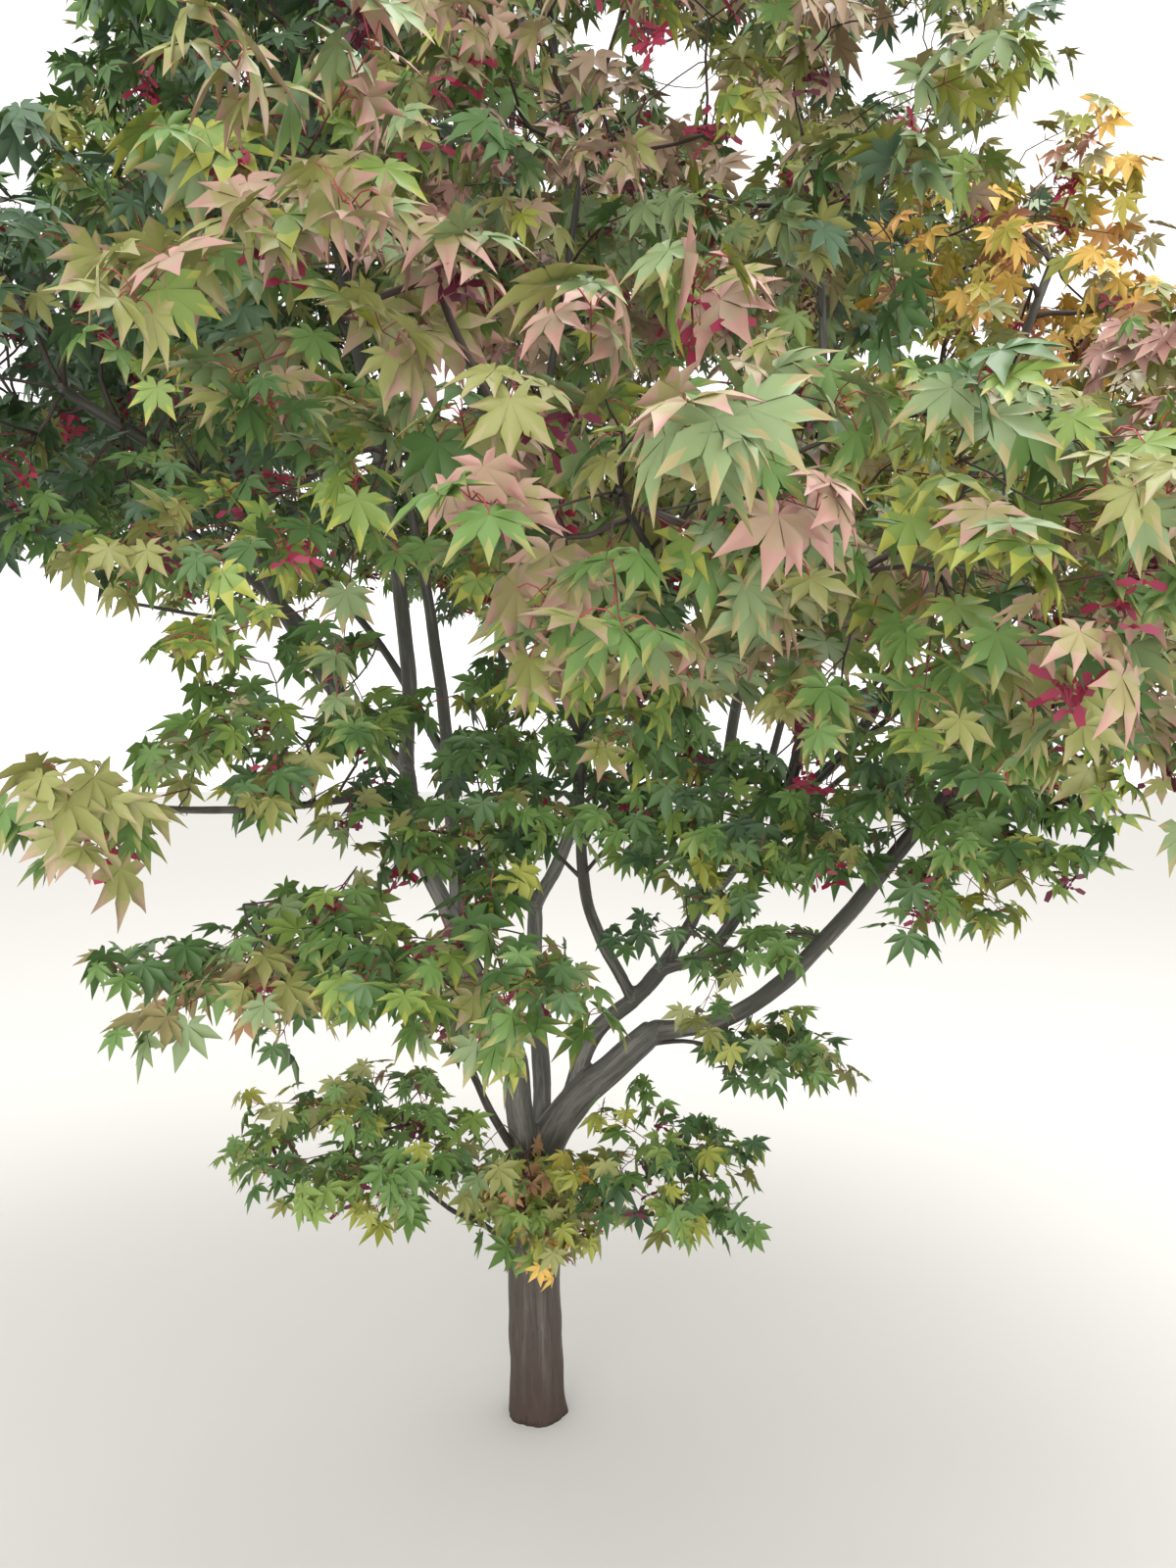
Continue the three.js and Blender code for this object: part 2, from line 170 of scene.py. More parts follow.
# name, parent, share of the parent's length, radii at both ends, points on the way and at the end
LIMBS = [
    ("bough_right", "trunk", 0.9, 43, 29, (52, 0, 685), (110, -25, 766), (185, -50, 838),
     (271, -90, 930)),
    ("stem_left", "trunk", 0.88, 33, 25, (-40, -30, 730), (-50, -35, 845), (-125, -50, 985),
     (-172, -70, 1140)),
    ("stem_centre", "trunk", 0.9, 24, 18, (11, 60, 710), (-7, 110, 930), (-12, 160, 1185)),
    ("stem_left_front", "stem_left", 0.97, 20, 9, (-238, -140, 1312), (-266, -180, 1500),
     (-258, -215, 1705), (-280, -350, 2050), (-350, -760, 2680)),
    ("stem_left_back", "stem_left", 0.97, 18, 8, (-193, 40, 1291), (-230, 150, 1650), (-380, 400, 2300),
     (-650, 420, 2930)),
    ("bough_left", "stem_left_front", 0.3, 17, 8, (-350, -220, 1617), (-449, -440, 1792),
     (-496, -640, 1973), (-640, -1000, 2080)),
    ("bough_left_outer", "stem_left_front", 0.24, 15, 8, (-351, -90, 1571), (-439, 10, 1659),
     (-534, 90, 1818), (-1130, -80, 2310)),
    ("branch_left_spray", "stem_left_front", 0.215, 8, 4, (-330, -700, 1465), (-350, -1190, 1484),
     (-370, -1480, 1505)),
    ("branch_left_droop", "trunk", 0.9, 10, 5, (-98, -90, 735), (-150, -240, 933), (-190, -440, 1110),
     (-360, -950, 1250)),
    ("bough_back_left", "stem_left_back", 0.22, 12, 7, (-450, 400, 1850), (-950, 880, 2300)),
    ("stem_centre_top", "stem_centre", 0.97, 17, 8, (49, 210, 1275), (90, 260, 1403), (110, 230, 2000),
     (80, 150, 2800), (0, -100, 3430)),
    ("stem_centre_front", "stem_centre", 0.94, 11, 6, (-42, 130, 1319), (-60, 60, 1430),
     (-70, -200, 2300), (0, -100, 3430)),
    ("bough_back", "stem_centre_top", 0.12, 12, 7, (100, 650, 1800), (20, 1060, 2250)),
    ("bough_right_outer", "bough_right", 0.97, 20, 9, (386, -170, 956), (479, -290, 1040),
     (586, -490, 1217), (679, -690, 1420), (765, -790, 1550), (960, -1050, 1900)),
    ("bough_right_side", "bough_right_outer", 0.64, 11, 7, (830, -560, 1640), (1000, -400, 1830),
     (1190, -130, 2130)),
    ("bough_inner", "bough_right", 0.38, 22, 18, (126, -20, 886), (230, -70, 995), (293, -110, 1077)),
    ("bough_inner_right", "bough_inner", 0.96, 15, 8, (372, -160, 1106), (448, -220, 1224),
     (518, -310, 1421), (650, -440, 1600), (1000, -430, 2480)),
    ("branch_inner_up", "bough_inner_right", 0.27, 9, 6, (543, -440, 1660), (530, -640, 1830),
     (480, -820, 2420)),
    ("bough_inner_back", "bough_inner", 0.96, 15, 8, (362, -90, 1196), (384, -40, 1333),
     (434, 10, 1500), (520, 0, 2100), (700, 420, 2960)),
    ("branch_back_right", "bough_inner_back", 0.07, 12, 7, (461, 60, 1264), (513, 160, 1330),
     (700, 500, 1800), (1000, 870, 2250)),
    ("stem_front", "bough_inner", 0.72, 14, 9, (146, -190, 1147), (115, -290, 1252), (104, -490, 1420),
     (103, -740, 1596)),
    ("stem_front_left", "stem_front", 0.97, 7, 5, (80, -840, 1649), (40, -920, 1850), (110, -880, 2440)),
    ("stem_front_right", "stem_front", 0.97, 6, 4, (150, -840, 1634), (226, -1090, 1727),
     (146, -1580, 1815)),
    ("shoot_low_left", "trunk", 0.54, 7, 4, (-108, -90, 475), (-177, -240, 580), (-300, -420, 790)),
    ("shoot_low_right", "trunk", 0.54, 7, 4, (86, -60, 464), (150, -150, 550), (280, -270, 680)),
]
# Side branches that the frame leaves out, in the same form
SIDE_BRANCHES = [
    ("side_front_left", "stem_front", 0.45, 4.5, 2.5, (20, -430, 1375), (-90, -470, 1395)),
    ("side_front_right", "stem_front", 0.47, 4.5, 2.5, (180, -500, 1385), (290, -560, 1415),
     (400, -640, 1500)),
    ("side_front_up", "stem_front", 0.55, 4, 2.5, (150, -520, 1450), (220, -560, 1560)),
    ("side_right_high", "bough_inner_right", 0.29, 6, 3, (560, -380, 1575), (640, -470, 1655),
     (720, -540, 1760)),
    ("side_right_middle", "bough_inner_right", 0.26, 8, 4, (600, -470, 1540), (700, -560, 1640),
     (830, -600, 1760)),
    ("side_right_low", "bough_inner_right", 0.235, 7, 3.5, (610, -480, 1510), (700, -590, 1590),
     (820, -680, 1680)),
    ("side_left", "bough_left", 0.42, 5, 3, (-530, -470, 1800), (-720, -540, 1820)),
    ("side_right_under", "bough_right", 0.85, 6, 3, (330, -120, 905), (420, -150, 895), (540, -160, 885)),
    ("side_centre_low", "stem_left", 0.8, 6, 3, (-140, -300, 1180), (-90, -700, 1270),
     (-40, -1150, 1290)),
    ("side_low_front", "trunk", 0.6, 4.5, 2.5, (4, -100, 440), (6, -150, 500), (8, -190, 590)),
]
print(len(LIMBS), "limbs,", len(SIDE_BRANCHES), "side branches and the trunk")

# %% Lines through the points
PER_SPAN = 24
ALONG_Y = 0.9


def route(points):
    """Many close points on a smooth line through the few given."""
    spots = [Vector(p) for p in points]
    spots = [2 * spots[0] - spots[1], *spots, 2 * spots[-1] - spots[-2]]
    line = []
    for a, b, c, d in zip(spots, spots[1:], spots[2:], spots[3:]):
        ab, bc, cd = (math.sqrt((q - p).length) for p, q in ((a, b), (b, c), (c, d)))
        leave = ((b - a) / ab - (c - a) / (ab + bc) + (c - b) / bc) * bc
        arrive = ((c - b) / bc - (d - b) / (bc + cd) + (d - c) / cd) * bc
        for k in range(PER_SPAN):
            t = k / PER_SPAN
            from_b = b * (2 * t**3 - 3 * t**2 + 1) + leave * (t**3 - 2 * t**2 + t)
            line.append(from_b + c * (3 * t**2 - 2 * t**3) + arrive * (t**3 - t**2))
    return np.array([*line, spots[-2]])


def unit(vectors):
    return vectors / np.linalg.norm(vectors, axis=-1, keepdims=True)


def carried_frames(places):
    """At each place the direction of the line and two directions across it, carried on without twist."""
    ahead = unit(np.gradient(places, axis=0))
    across = np.empty_like(ahead)
    helper = (0.0, 1.0, 0.0) if abs(ahead[0][1]) < ALONG_Y else (1.0, 0.0, 0.0)
    across[0] = unit(np.cross(ahead[0], helper))
    for i in range(1, len(ahead)):
        across[i] = unit(across[i - 1] - ahead[i] * across[i - 1].dot(ahead[i]))
    return ahead, across, np.cross(ahead, across)


trunk_line = route([(0, 0, 0), (FORK_LEAN / 3, 0, TRUNK_HEIGHT / 2), (FORK_LEAN, 0, TRUNK_HEIGHT)])
print(len(trunk_line), "points on the trunk's line")

# %% Limbs along their lines
STATION_STEP, FEWEST_STEPS = 0.012, 5
COLLAR, COLLAR_LENGTH = 0.22, 2.5
TRUNK_RADIUS, TRUNK_TOP_RADIUS = 0.061, 0.050
SHOULDER_HEIGHT = 0.38


def limb_from(name, line, radius_at, *radii):
    """A limb as stations at even steps along its line."""
    way = np.concatenate([[0], np.cumsum(np.linalg.norm(np.diff(line, axis=0), axis=1))])
    along = np.linspace(0, way[-1], max(FEWEST_STEPS, round(way[-1] / STATION_STEP)) + 1)
    places = np.column_stack([np.interp(along, way, line[:, i]) for i in range(3)])
    ahead, across, other = carried_frames(places)
    return {"name": name, "places": places, "along": along, "ahead": ahead, "across": across,
            "other": other, "radius": radius_at(along, *radii)}


def trunk_radius(along):
    above = np.clip((along - SHOULDER_HEIGHT) / (TRUNK_HEIGHT - SHOULDER_HEIGHT), 0, 1)
    return TRUNK_RADIUS - (TRUNK_RADIUS - TRUNK_TOP_RADIUS) * above**2


def limb_radius(along, base, tip):
    collar = 1 + COLLAR * np.exp(-along / (COLLAR_LENGTH * base))
    return (base + (tip - base) * along / along[-1]) * collar


def point_on(limb, share):
    at = share * limb["along"][-1]
    return [np.interp(at, limb["along"], limb["places"][:, i]) for i in range(3)]


limbs = {"trunk": limb_from("trunk", trunk_line, trunk_radius)}
for name, parent, share, base, tip, *points in LIMBS + SIDE_BRANCHES:
    line = route([point_on(limbs[parent], share), *(np.array(points) * MM)])
    limbs[name] = limb_from(name, line, limb_radius, base * MM, tip * MM)
print(round(sum(limb["along"][-1] for limb in limbs.values()), 1), "m of limb in all")

# %% [markdown]
# ## One skin for the trunk and boughs
# On a real tree the wood of a bough flows into the trunk with no seam. Separate tubes pushed into
# each other would show a hard line at every fork. So each limb is first drawn as a tube: a circle
# that is extruded ring by ring along its line. All tubes then lie in one mesh, and the Remesh
# modifier turns them into a single closed skin, which is smoothed only near the forks.

# %% Tubes for the limbs
UNION_RADIUS = 0.0105
UNION_SIDES = 20
RING_STEP = 2
WOBBLE, WOBBLE_SCALE = 0.16, 9.0
STRAIGHT_START = 0.1
BELOW_GROUND = 0.02


def ring_matrix(limb, i):
    """Where a ring of radius 1 lies at station i, with a slight crook so that no limb is ruled."""
    place = Vector(limb["places"][i])
    crook = noise.noise_vector(place * WOBBLE_SCALE) * WOBBLE * limb["radius"][i]
    fade = min(1.0, limb["along"][i] / STRAIGHT_START) * (limb["name"] != "trunk")
    size = limb["radius"][i]
    columns = [Vector(limb[key][i]) * size for key in ("across", "other")] + [Vector(limb["ahead"][i])]
    matrix = Matrix(columns).transposed().to_4x4()
    matrix.translation = place + crook * fade
    return matrix


def rings_of(limb):
    return [ring_matrix(limb, i) for i in range(0, len(limb["places"]), RING_STEP)]


def corners_in_order(ring):
    """The corners of a closed ring of edges, walked from its first edge."""
    start, corner = ring[0].verts
    walked = [start]
    while corner != start:
        walked.append(corner)
        corner = next(edge.other_vert(corner) for edge in corner.link_edges
                      if edge in ring and edge.other_vert(corner) != walked[-2])
    return walked


def draw_tube(bm, rings, sides):
    """Extrudes a circle from one ring's matrix to the next and closes both ends."""
    first = bmesh.ops.create_circle(bm, cap_ends=True, segments=sides, radius=1.0, matrix=rings[0])
    edges = first["verts"][0].link_faces[0].edges[:]
    for before, after in zip(rings, rings[1:]):
        made = bmesh.ops.extrude_edge_only(bm, edges=edges)["geom"]
        verts = [part for part in made if isinstance(part, bmesh.types.BMVert)]
        bmesh.ops.transform(bm, matrix=after @ before.inverted(), verts=verts)
        fresh = set(verts)
        edges = [part for part in made if isinstance(part, bmesh.types.BMEdge)
                 and part.verts[0] in fresh and part.verts[1] in fresh]
    bm.faces.new(corners_in_order(edges))


wood_bm = bmesh.new()
thick = [limb for limb in limbs.values() if limb["radius"].max() > UNION_RADIUS * (1 + COLLAR)]
thin = [limb for limb in limbs.values() if limb not in thick]
for limb in thick:
    rings = rings_of(limb)
    if limb["name"] == "trunk":
        rings.insert(0, Matrix.Translation((0, 0, -BELOW_GROUND)) @ rings[0])
    draw_tube(wood_bm, rings, UNION_SIDES)
bmesh.ops.recalc_face_normals(wood_bm, faces=wood_bm.faces)
print(len(thick), "thick limbs,", len(thin), "thin ones,", len(wood_bm.faces), "faces before the remesh")

# %% Remesh to one skin
VOXEL = 0.0035
CROTCH, FORK_REACH = 1.6, 2.6        # both in radii of the limb at its start
FORK_ROUNDS = 14


def apply_modifiers(obj):
    """Makes the shape that the modifiers give the object's own mesh."""
    graph = bpy.context.evaluated_depsgraph_get()
    shaped = bpy.data.meshes.new_from_object(obj.evaluated_get(graph))
    rough_mesh = obj.data
    obj.modifiers.clear()
    obj.data = shaped
    bpy.data.meshes.remove(rough_mesh)


wood = object_from(wood_bm, "trunk_and_boughs")
remesh = wood.modifiers.new("one_skin", "REMESH")
remesh.mode = "VOXEL"
remesh.voxel_size = VOXEL
apply_modifiers(wood)

wood_bm = bmesh.new()
wood_bm.from_mesh(wood.data)
places = np.array([vert.co for vert in wood_bm.verts])
near_fork = np.zeros(len(places), bool)
for limb in thick[1:]:
    base = limb["radius"][0]
    crotch = point_on(limb, CROTCH * base / limb["along"][-1])
    near_fork |= np.linalg.norm(places - crotch, axis=1) < FORK_REACH * base
wood_bm.verts.ensure_lookup_table()
fork_verts = [wood_bm.verts[i] for i in np.flatnonzero(near_fork)]
for _ in range(FORK_ROUNDS):
    bmesh.ops.smooth_vert(wood_bm, verts=fork_verts, factor=0.5, use_axis_x=True, use_axis_y=True,
                          use_axis_z=True)
print(len(wood_bm.verts), "points in the skin,", len(fork_verts), "of them near a fork")

# %% [markdown]
# ## Bark relief
# Young maple bark is smooth with faint lengthwise streaks, and old bark at the foot breaks into fine
# upright fissures. Both follow the wood, so every point of the skin is given its place along and
# across the nearest limb. Noise that is stretched along that direction makes the ridges, and the same
# values are stored on the mesh, so that the colour of the bark can follow them too.

# %% Where each point lies on its limb
NEIGHBOURS = 20

station = {key: np.concatenate([limb[key] for limb in limbs.values()])
           for key in ("places", "ahead", "across", "other", "along", "radius")}
station_tree = KDTree(len(station["places"]))
for number, place in enumerate(station["places"]):
    station_tree.insert(place, number)
station_tree.balance()


def nearest_station(points):
    """For each point the station whose skin lies nearest, and not the one whose middle does."""
    radius = station["radius"]
    return np.array([min(station_tree.find_n(point, NEIGHBOURS), key=lambda hit: hit[2] - radius[hit[1]])[1]
                     for point in points.tolist()])


def grain_of(points, nearest):
    """Place across and along the wood, in metres: the pattern of the bark follows it."""
    away = points - station["places"][nearest]
    return np.column_stack([
        (away * station["across"][nearest]).sum(axis=1),
        (away * station["other"][nearest]).sum(axis=1),
        (away * station["ahead"][nearest]).sum(axis=1) + station["along"][nearest],
    ])


def noise_at(points, scale):
    return np.array([noise.noise(point) for point in (points * scale).tolist()])


print(len(station["places"]), "stations on", len(limbs), "limbs")

# %% Relief on the skin
FLARE, FLARE_HEIGHT, MOST_FLARE = 0.008, 0.055, 0.012
ROOT_RIDGES, RIDGE_SHARE = 5, 0.35
# ridges and cracks: how far they stand out in metres, scale of their noise across and along the wood
RIDGES, FINE_RIDGES, CRACKS = (0.0011, (55, 55, 6)), (0.0005, (140, 140, 15)), (0.0026, (75, 75, 8))
FISSURE_HEIGHT = 0.34
LUMPS, LUMP_SCALE = 0.055, 13
FULL_RELIEF, LEAST_RELIEF = 0.02, 0.25       # the girth from which the relief is full, its least share
KNOT_RISE, KNOT_HOLLOW, HOLLOW_SHARE = 0.32, 0.26, 2.4
KNOTS = [((0.006, -0.061, 0.212), 0.016), ((-0.052, -0.03, 0.47), 0.013), ((0.045, -0.038, 0.36), 0.011)]


def relief(points, grain, girth):
    """How far the bark stands out at each point, in metres."""
    ridges = RIDGES[0] * noise_at(grain, RIDGES[1]) + FINE_RIDGES[0] * noise_at(grain, FINE_RIDGES[1])
    foot = np.clip(1 - points[:, 2] / FISSURE_HEIGHT, 0, 1)
    cracks = CRACKS[0] * foot * np.clip(np.abs(noise_at(grain, CRACKS[1])) * 3 - 0.6, -0.6, 0.4)
    lumps = LUMPS * girth * noise_at(points, LUMP_SCALE)
    knots = np.zeros(len(points))
    for place, size in KNOTS:
        away = np.linalg.norm(points - place, axis=1) / size
        hollow = KNOT_HOLLOW * size * np.exp(-((away * HOLLOW_SHARE) ** 2))
        knots += KNOT_RISE * size * np.exp(-(away**2)) - hollow
    return (ridges + cracks) * np.clip(girth / FULL_RELIEF, LEAST_RELIEF, 1) + lumps + knots


places = np.array([vert.co for vert in wood_bm.verts])
wood_bm.normal_update()
outward = np.array([vert.normal for vert in wood_bm.verts])
nearest = nearest_station(places)
girth = station["radius"][nearest]
grain = grain_of(places, nearest)
shift = outward * relief(places, grain, girth)[:, None]

on_trunk = nearest < len(limbs["trunk"]["places"])
round_trunk = np.arctan2(places[:, 1], places[:, 0])
spread = FLARE * (1 + RIDGE_SHARE * np.cos(ROOT_RIDGES * round_trunk)) * np.exp(-places[:, 2] / FLARE_HEIGHT)
level = places * (1, 1, 0)
shift += unit(level + 1e-9) * (np.clip(spread, 0, MOST_FLARE) * on_trunk)[:, None]
for vert, place in zip(wood_bm.verts, places + shift):
    vert.co = place
print("the relief moves the skin by up to", round(1000 * np.linalg.norm(shift, axis=1).max(), 1), "mm")

# %% Level foot and fewer faces
WOOD_TRIANGLES = 105_000

geometry = [*wood_bm.verts, *wood_bm.edges, *wood_bm.faces]
bmesh.ops.bisect_plane(wood_bm, geom=geometry, plane_co=(0, 0, 0), plane_no=(0, 0, -1), clear_outer=True)
rim = [edge for edge in wood_bm.edges if edge.is_boundary]
foot = wood_bm.faces.new(corners_in_order(rim))
foot.normal_update()
if foot.normal.z > 0:
    foot.normal_flip()
bmesh.ops.triangulate(wood_bm, faces=wood_bm.faces)
fine_triangles = len(wood_bm.faces)
wood_bm.to_mesh(wood.data)
wood_bm.free()
fewer = wood.modifiers.new("fewer_faces", "DECIMATE")
fewer.ratio = WOOD_TRIANGLES / fine_triangles
apply_modifiers(wood)
print(fine_triangles, "triangles with the relief,", len(wood.data.polygons), "kept")

# %% [markdown]
# ## Thin branches
# The branches under about a centimetre in radius are too thin for the skin's grid, so they stay
# tubes of their own, pushed into the boughs that carry them.

# %% Tubes for the thin branches
THIN_SIDES = 10
SWELL, SWELL_SCALE = 0.12, 30

thin_bm = bmesh.new()
for limb in thin:
    for i in range(len(limb["radius"])):
        limb["radius"][i] *= 1 + SWELL * noise.noise(Vector(limb["places"][i]) * SWELL_SCALE)
    draw_tube(thin_bm, rings_of(limb), THIN_SIDES)
bmesh.ops.triangulate(thin_bm, faces=thin_bm.faces)
bmesh.ops.recalc_face_normals(thin_bm, faces=thin_bm.faces)
thin_wood = object_from(thin_bm, "thin_branches")


def store_wood_values(obj):
    """Stores the grain and the girth on the mesh for its material."""
    mesh = obj.data
    points = np.empty(3 * len(mesh.vertices))
    mesh.vertices.foreach_get("co", points)
    points = points.reshape(-1, 3)
    nearest = nearest_station(points)
    grain = mesh.attributes.new("grain", "FLOAT_VECTOR", "POINT")
    grain.data.foreach_set("vector", grain_of(points, nearest).ravel())
    girth = mesh.attributes.new("girth", "FLOAT", "POINT")
    girth.data.foreach_set("value", station["radius"][nearest])
    mesh.shade_smooth()
    return len(mesh.polygons)


print(store_wood_values(wood), "triangles of skin,", store_wood_values(thin_wood), "of thin branches")

# %% [markdown]
# ## Where the sprays of leaves sit
# Leaves grow on the outer twigs, in flat sprays. Each mass of the frame says how far the foliage
# reaches, so points are thrown into it at random, and a point is kept if it lies inside and not too
# near another. Near the middle of a big mass most are left out, because leaves there get no light.
#
# The table gives each mass the colours that it wears, how close its sprays stand in metres, and the
# joined piece that its leaves go into. The palette shade is painted shade: its darker, bluer greens
# go to the masses that lie in the crown's shade. Sprays near the camera stand as close as real ones,
# those at the back a little further apart with larger leaves.

# %% Foliage table
CLOSE, MIDDLE, WIDE = 0.094, 0.108, 0.138
# the masses given the palette shade get painted shade: darker, bluer greens
FOLIAGE = {
    "front_centre": ("blush", 0.120, "front"), "front_inner": ("turning", 0.112, "front"),
    "front_left": ("rosy", 0.114, "front"), "front_left_low": ("fresh", 0.116, "front"),
    "front_right": ("turning", 0.114, "front"), "right_front": ("blush", MIDDLE, "front_high"),
    "right_front_low": ("turning", CLOSE, "front"), "left_front": ("shade", 0.114, "front_high"),
    "left_spray": ("bronze", 0.070, "front"), "centre_top_front": ("blush", 0.122, "front_high"),
    "right_top_front": ("hazy", 0.142, "front_high"), "left_top_front": ("shade", 0.125, "front_high"),
    "inner_left": ("green", 0.102, "inner"), "inner_right": ("green", 0.100, "inner"),
    "left_middle": ("fresh", 0.116, "inner"), "inner_centre": ("green", 0.100, "inner"),
    "inner_low_right": ("green", 0.104, "inner"), "right_middle": ("green", 0.098, "inner"),
    "left_drooping": ("bronze", 0.098, "inner"), "centre_low": ("fresh", 0.092, "inner"),
    "low_left": ("fresh", 0.102, "low"), "low_front": ("golden_green", 0.066, "low"),
    "low_right": ("green", 0.096, "low"), "right_low": ("fresh", 0.086, "low"),
    "left": ("shade", WIDE, "left"), "right": ("golden_green", WIDE, "right"),
    "right_gold": ("gold", 0.132, "right"), "top": ("hazy", WIDE, "top"),
    "back_left": ("green", WIDE, "back"), "back": ("green", WIDE, "back"),
    "back_right": ("golden_green", WIDE, "back"), "back_high_left": ("green", WIDE, "back_high"),
    "back_high_right": ("hazy", WIDE, "back_high"), "back_high": ("hazy", WIDE, "back_high"),
}
print(len(FOLIAGE), "masses in the table")

# %% Points in the masses
LEAST_APART = 0.8
TRIES = 40
SUNLIT_DEPTH = 0.17
DEEP_SHARE = 0.25
TUCKED = 0.025


def shell_of(name):
    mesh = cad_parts[name].data
    return BVHTree.FromPolygons([v.co for v in mesh.vertices], [p.vertices for p in mesh.polygons])


def volume_of(name):
    solid = bmesh.new()
    solid.from_mesh(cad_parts[name].data)
    volume = solid.calc_volume()
    solid.free()
    return volume


def depth_in(shell, point):
    place, normal, _, away = shell.find_nearest(point)
    return away if (Vector(point) - place).dot(normal) < 0 else -away


spray_middle, spray_mass = [], []
for name, (_, spacing, _) in FOLIAGE.items():
    shell = shell_of(name)
    low, high = (np.array(corner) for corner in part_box(name))
    wanted = round(volume_of(name) / spacing**3)
    kept = []
    for _ in range(TRIES * wanted):
        point = rng.uniform(low, high)
        depth = depth_in(shell, point)
        if depth < TUCKED or (depth > SUNLIT_DEPTH and rng.random() > DEEP_SHARE):
            continue
        if kept and np.linalg.norm(np.array(kept) - point, axis=1).min() < LEAST_APART * spacing:
            continue
        kept.append(point)
        if len(kept) == wanted:
            break
    spray_middle += kept
    spray_mass += [name] * len(kept)
spray_middle, spray_mass = np.array(spray_middle), np.array(spray_mass)
print(len(spray_middle), "sprays")

# %% [markdown]
# From the front, parts of some limbs show between the leaves. Most of the sprays that would hide
# them are left out again. A spray hides a point when it is nearer to the eye and lies in nearly the
# same direction.

# %% Limbs in sight
# name, and the first and last share of its length that shows
IN_SIGHT = [("bough_left", 0.20, 0.95), ("stem_left_front", 0.20, 0.55), ("stem_front", 0.35, 1.0),
            ("bough_right_outer", 0.10, 0.65), ("bough_inner_right", 0.10, 0.50)]
SPRAY_REACH = 0.055
HIDING_SHARE = 0.40
CLEARLY_NEARER = 0.05


def angles_between(first, second):
    return np.arccos(np.clip(unit(first) @ unit(second).T, -1, 1))


seen = []
for name, first, last in IN_SIGHT:
    many = len(limbs[name]["places"])
    seen.append(limbs[name]["places"][round(first * many):round(last * many)])
to_seen, to_spray = np.vstack(seen) - EYE, spray_middle - EYE
seen_away, spray_away = np.linalg.norm(to_seen, axis=1), np.linalg.norm(to_spray, axis=1)[:, None]
hides = angles_between(to_spray, to_seen) < SPRAY_REACH / spray_away
hides &= spray_away < seen_away - CLEARLY_NEARER
kept = ~hides.any(axis=1) | (rng.random(len(spray_middle)) < HIDING_SHARE)
print((~kept).sum(), "sprays left out in front of the limbs")

# %% [markdown]
# ## Where the tree top is open
# A tree top is not a closed cover: seen from below, light comes through in small openings. The table
# gives the lines of sight that stay open, as so far to the side and so far up for each metre ahead of
# the camera, and half the width of each opening in radians. No spray stands near such a line.

# %% Openings
OPENINGS = [(0.010, 0.588, 0.032), (0.077, 0.535, 0.033), (0.138, 0.482, 0.035), (0.238, 0.563, 0.034),
            (0.352, 0.493, 0.032), (0.458, 0.546, 0.042), (0.488, 0.488, 0.040), (0.490, 0.421, 0.032),
            (-0.482, 0.315, 0.032)]

to_opening = np.array([(aside, 1, up) for aside, up, _ in OPENINGS])
half_width = np.array([width for _, _, width in OPENINGS])
kept &= (angles_between(to_spray, to_opening) > half_width).all(axis=1)
spray_middle, spray_mass = spray_middle[kept], spray_mass[kept]
print(len(spray_middle), "sprays kept")

# %% [markdown]
# ## How the branches find them
# A tree spends as little wood as it can, and yet no leaf lies a long way round from its roots. The
# branching rule here does the same. Each spray in turn is joined to the wood that already stands,
# limb or branch, where the new piece is short, turns little, and is not far from the limb that
# feeds it. A branch that feeds more sprays is thicker, by the rule that the thickness of the parts
# adds up to that of the whole.

# %% Spray directions
TWIG_LENGTH = (0.10, 0.17)
OUT_OF_MASS, OUT_FROM_TRUNK, SCATTER = 0.7, 0.6, 0.45
LEVEL, DROOP = 0.45, 0.10

middle_of = {name: np.mean(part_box(name), axis=0) for name in FOLIAGE}
from_mass = unit(spray_middle - np.array([middle_of[name] for name in spray_mass]) + 1e-6)
from_trunk = unit(spray_middle * (1, 1, 0) + 1e-6)
spray_ahead = OUT_OF_MASS * from_mass + OUT_FROM_TRUNK * from_trunk
spray_ahead = spray_ahead + SCATTER * rng.normal(size=spray_middle.shape)
spray_ahead[:, 2] = LEVEL * spray_ahead[:, 2] - DROOP
spray_ahead = unit(spray_ahead)
twig_length = rng.uniform(*TWIG_LENGTH, len(spray_middle))
spray_foot = spray_middle - 0.5 * twig_length[:, None] * spray_ahead

# %% Growth
BALANCE = 0.28
TURN_COST = 0.7
BARE_LIMBS = ("trunk", "bough_right", "stem_left", "stem_centre", "bough_inner")
BARE_SHARE, BARE_COST = 0.35, 0.22
EVERY = 3

feet = []
for limb in limbs.values():
    for i in range(EVERY, len(limb["places"]), EVERY):
        bare = limb["name"] in BARE_LIMBS or i < BARE_SHARE * len(limb["places"])
        feet.append((limb["places"][i], limb["ahead"][i], BARE_COST if bare else 0.0, limb["radius"][i]))
foot_place, foot_ahead, reluctance, carrier_radius = (np.array(part) for part in zip(*feet))
spot, heading = np.vstack([foot_place, spray_foot]), np.vstack([foot_ahead, spray_ahead])
foot_count, count = len(feet), len(spray_foot)
way = np.concatenate([np.zeros(foot_count), np.full(count, np.inf)])
parent = np.full(count, -1)
cost = np.full(count, np.inf)


def offer(carrier, extra):
    """Joins each spray to this carrier where that costs less than its best so far."""
    step = spray_foot - spot[carrier]
    length = np.linalg.norm(step, axis=1) + 1e-9
    turn = 1 - (step @ heading[carrier]) / length
    price = length * (1 + TURN_COST * turn) + BALANCE * way[carrier] + extra
    better = price < cost
    cost[better] = price[better]
    parent[better] = carrier


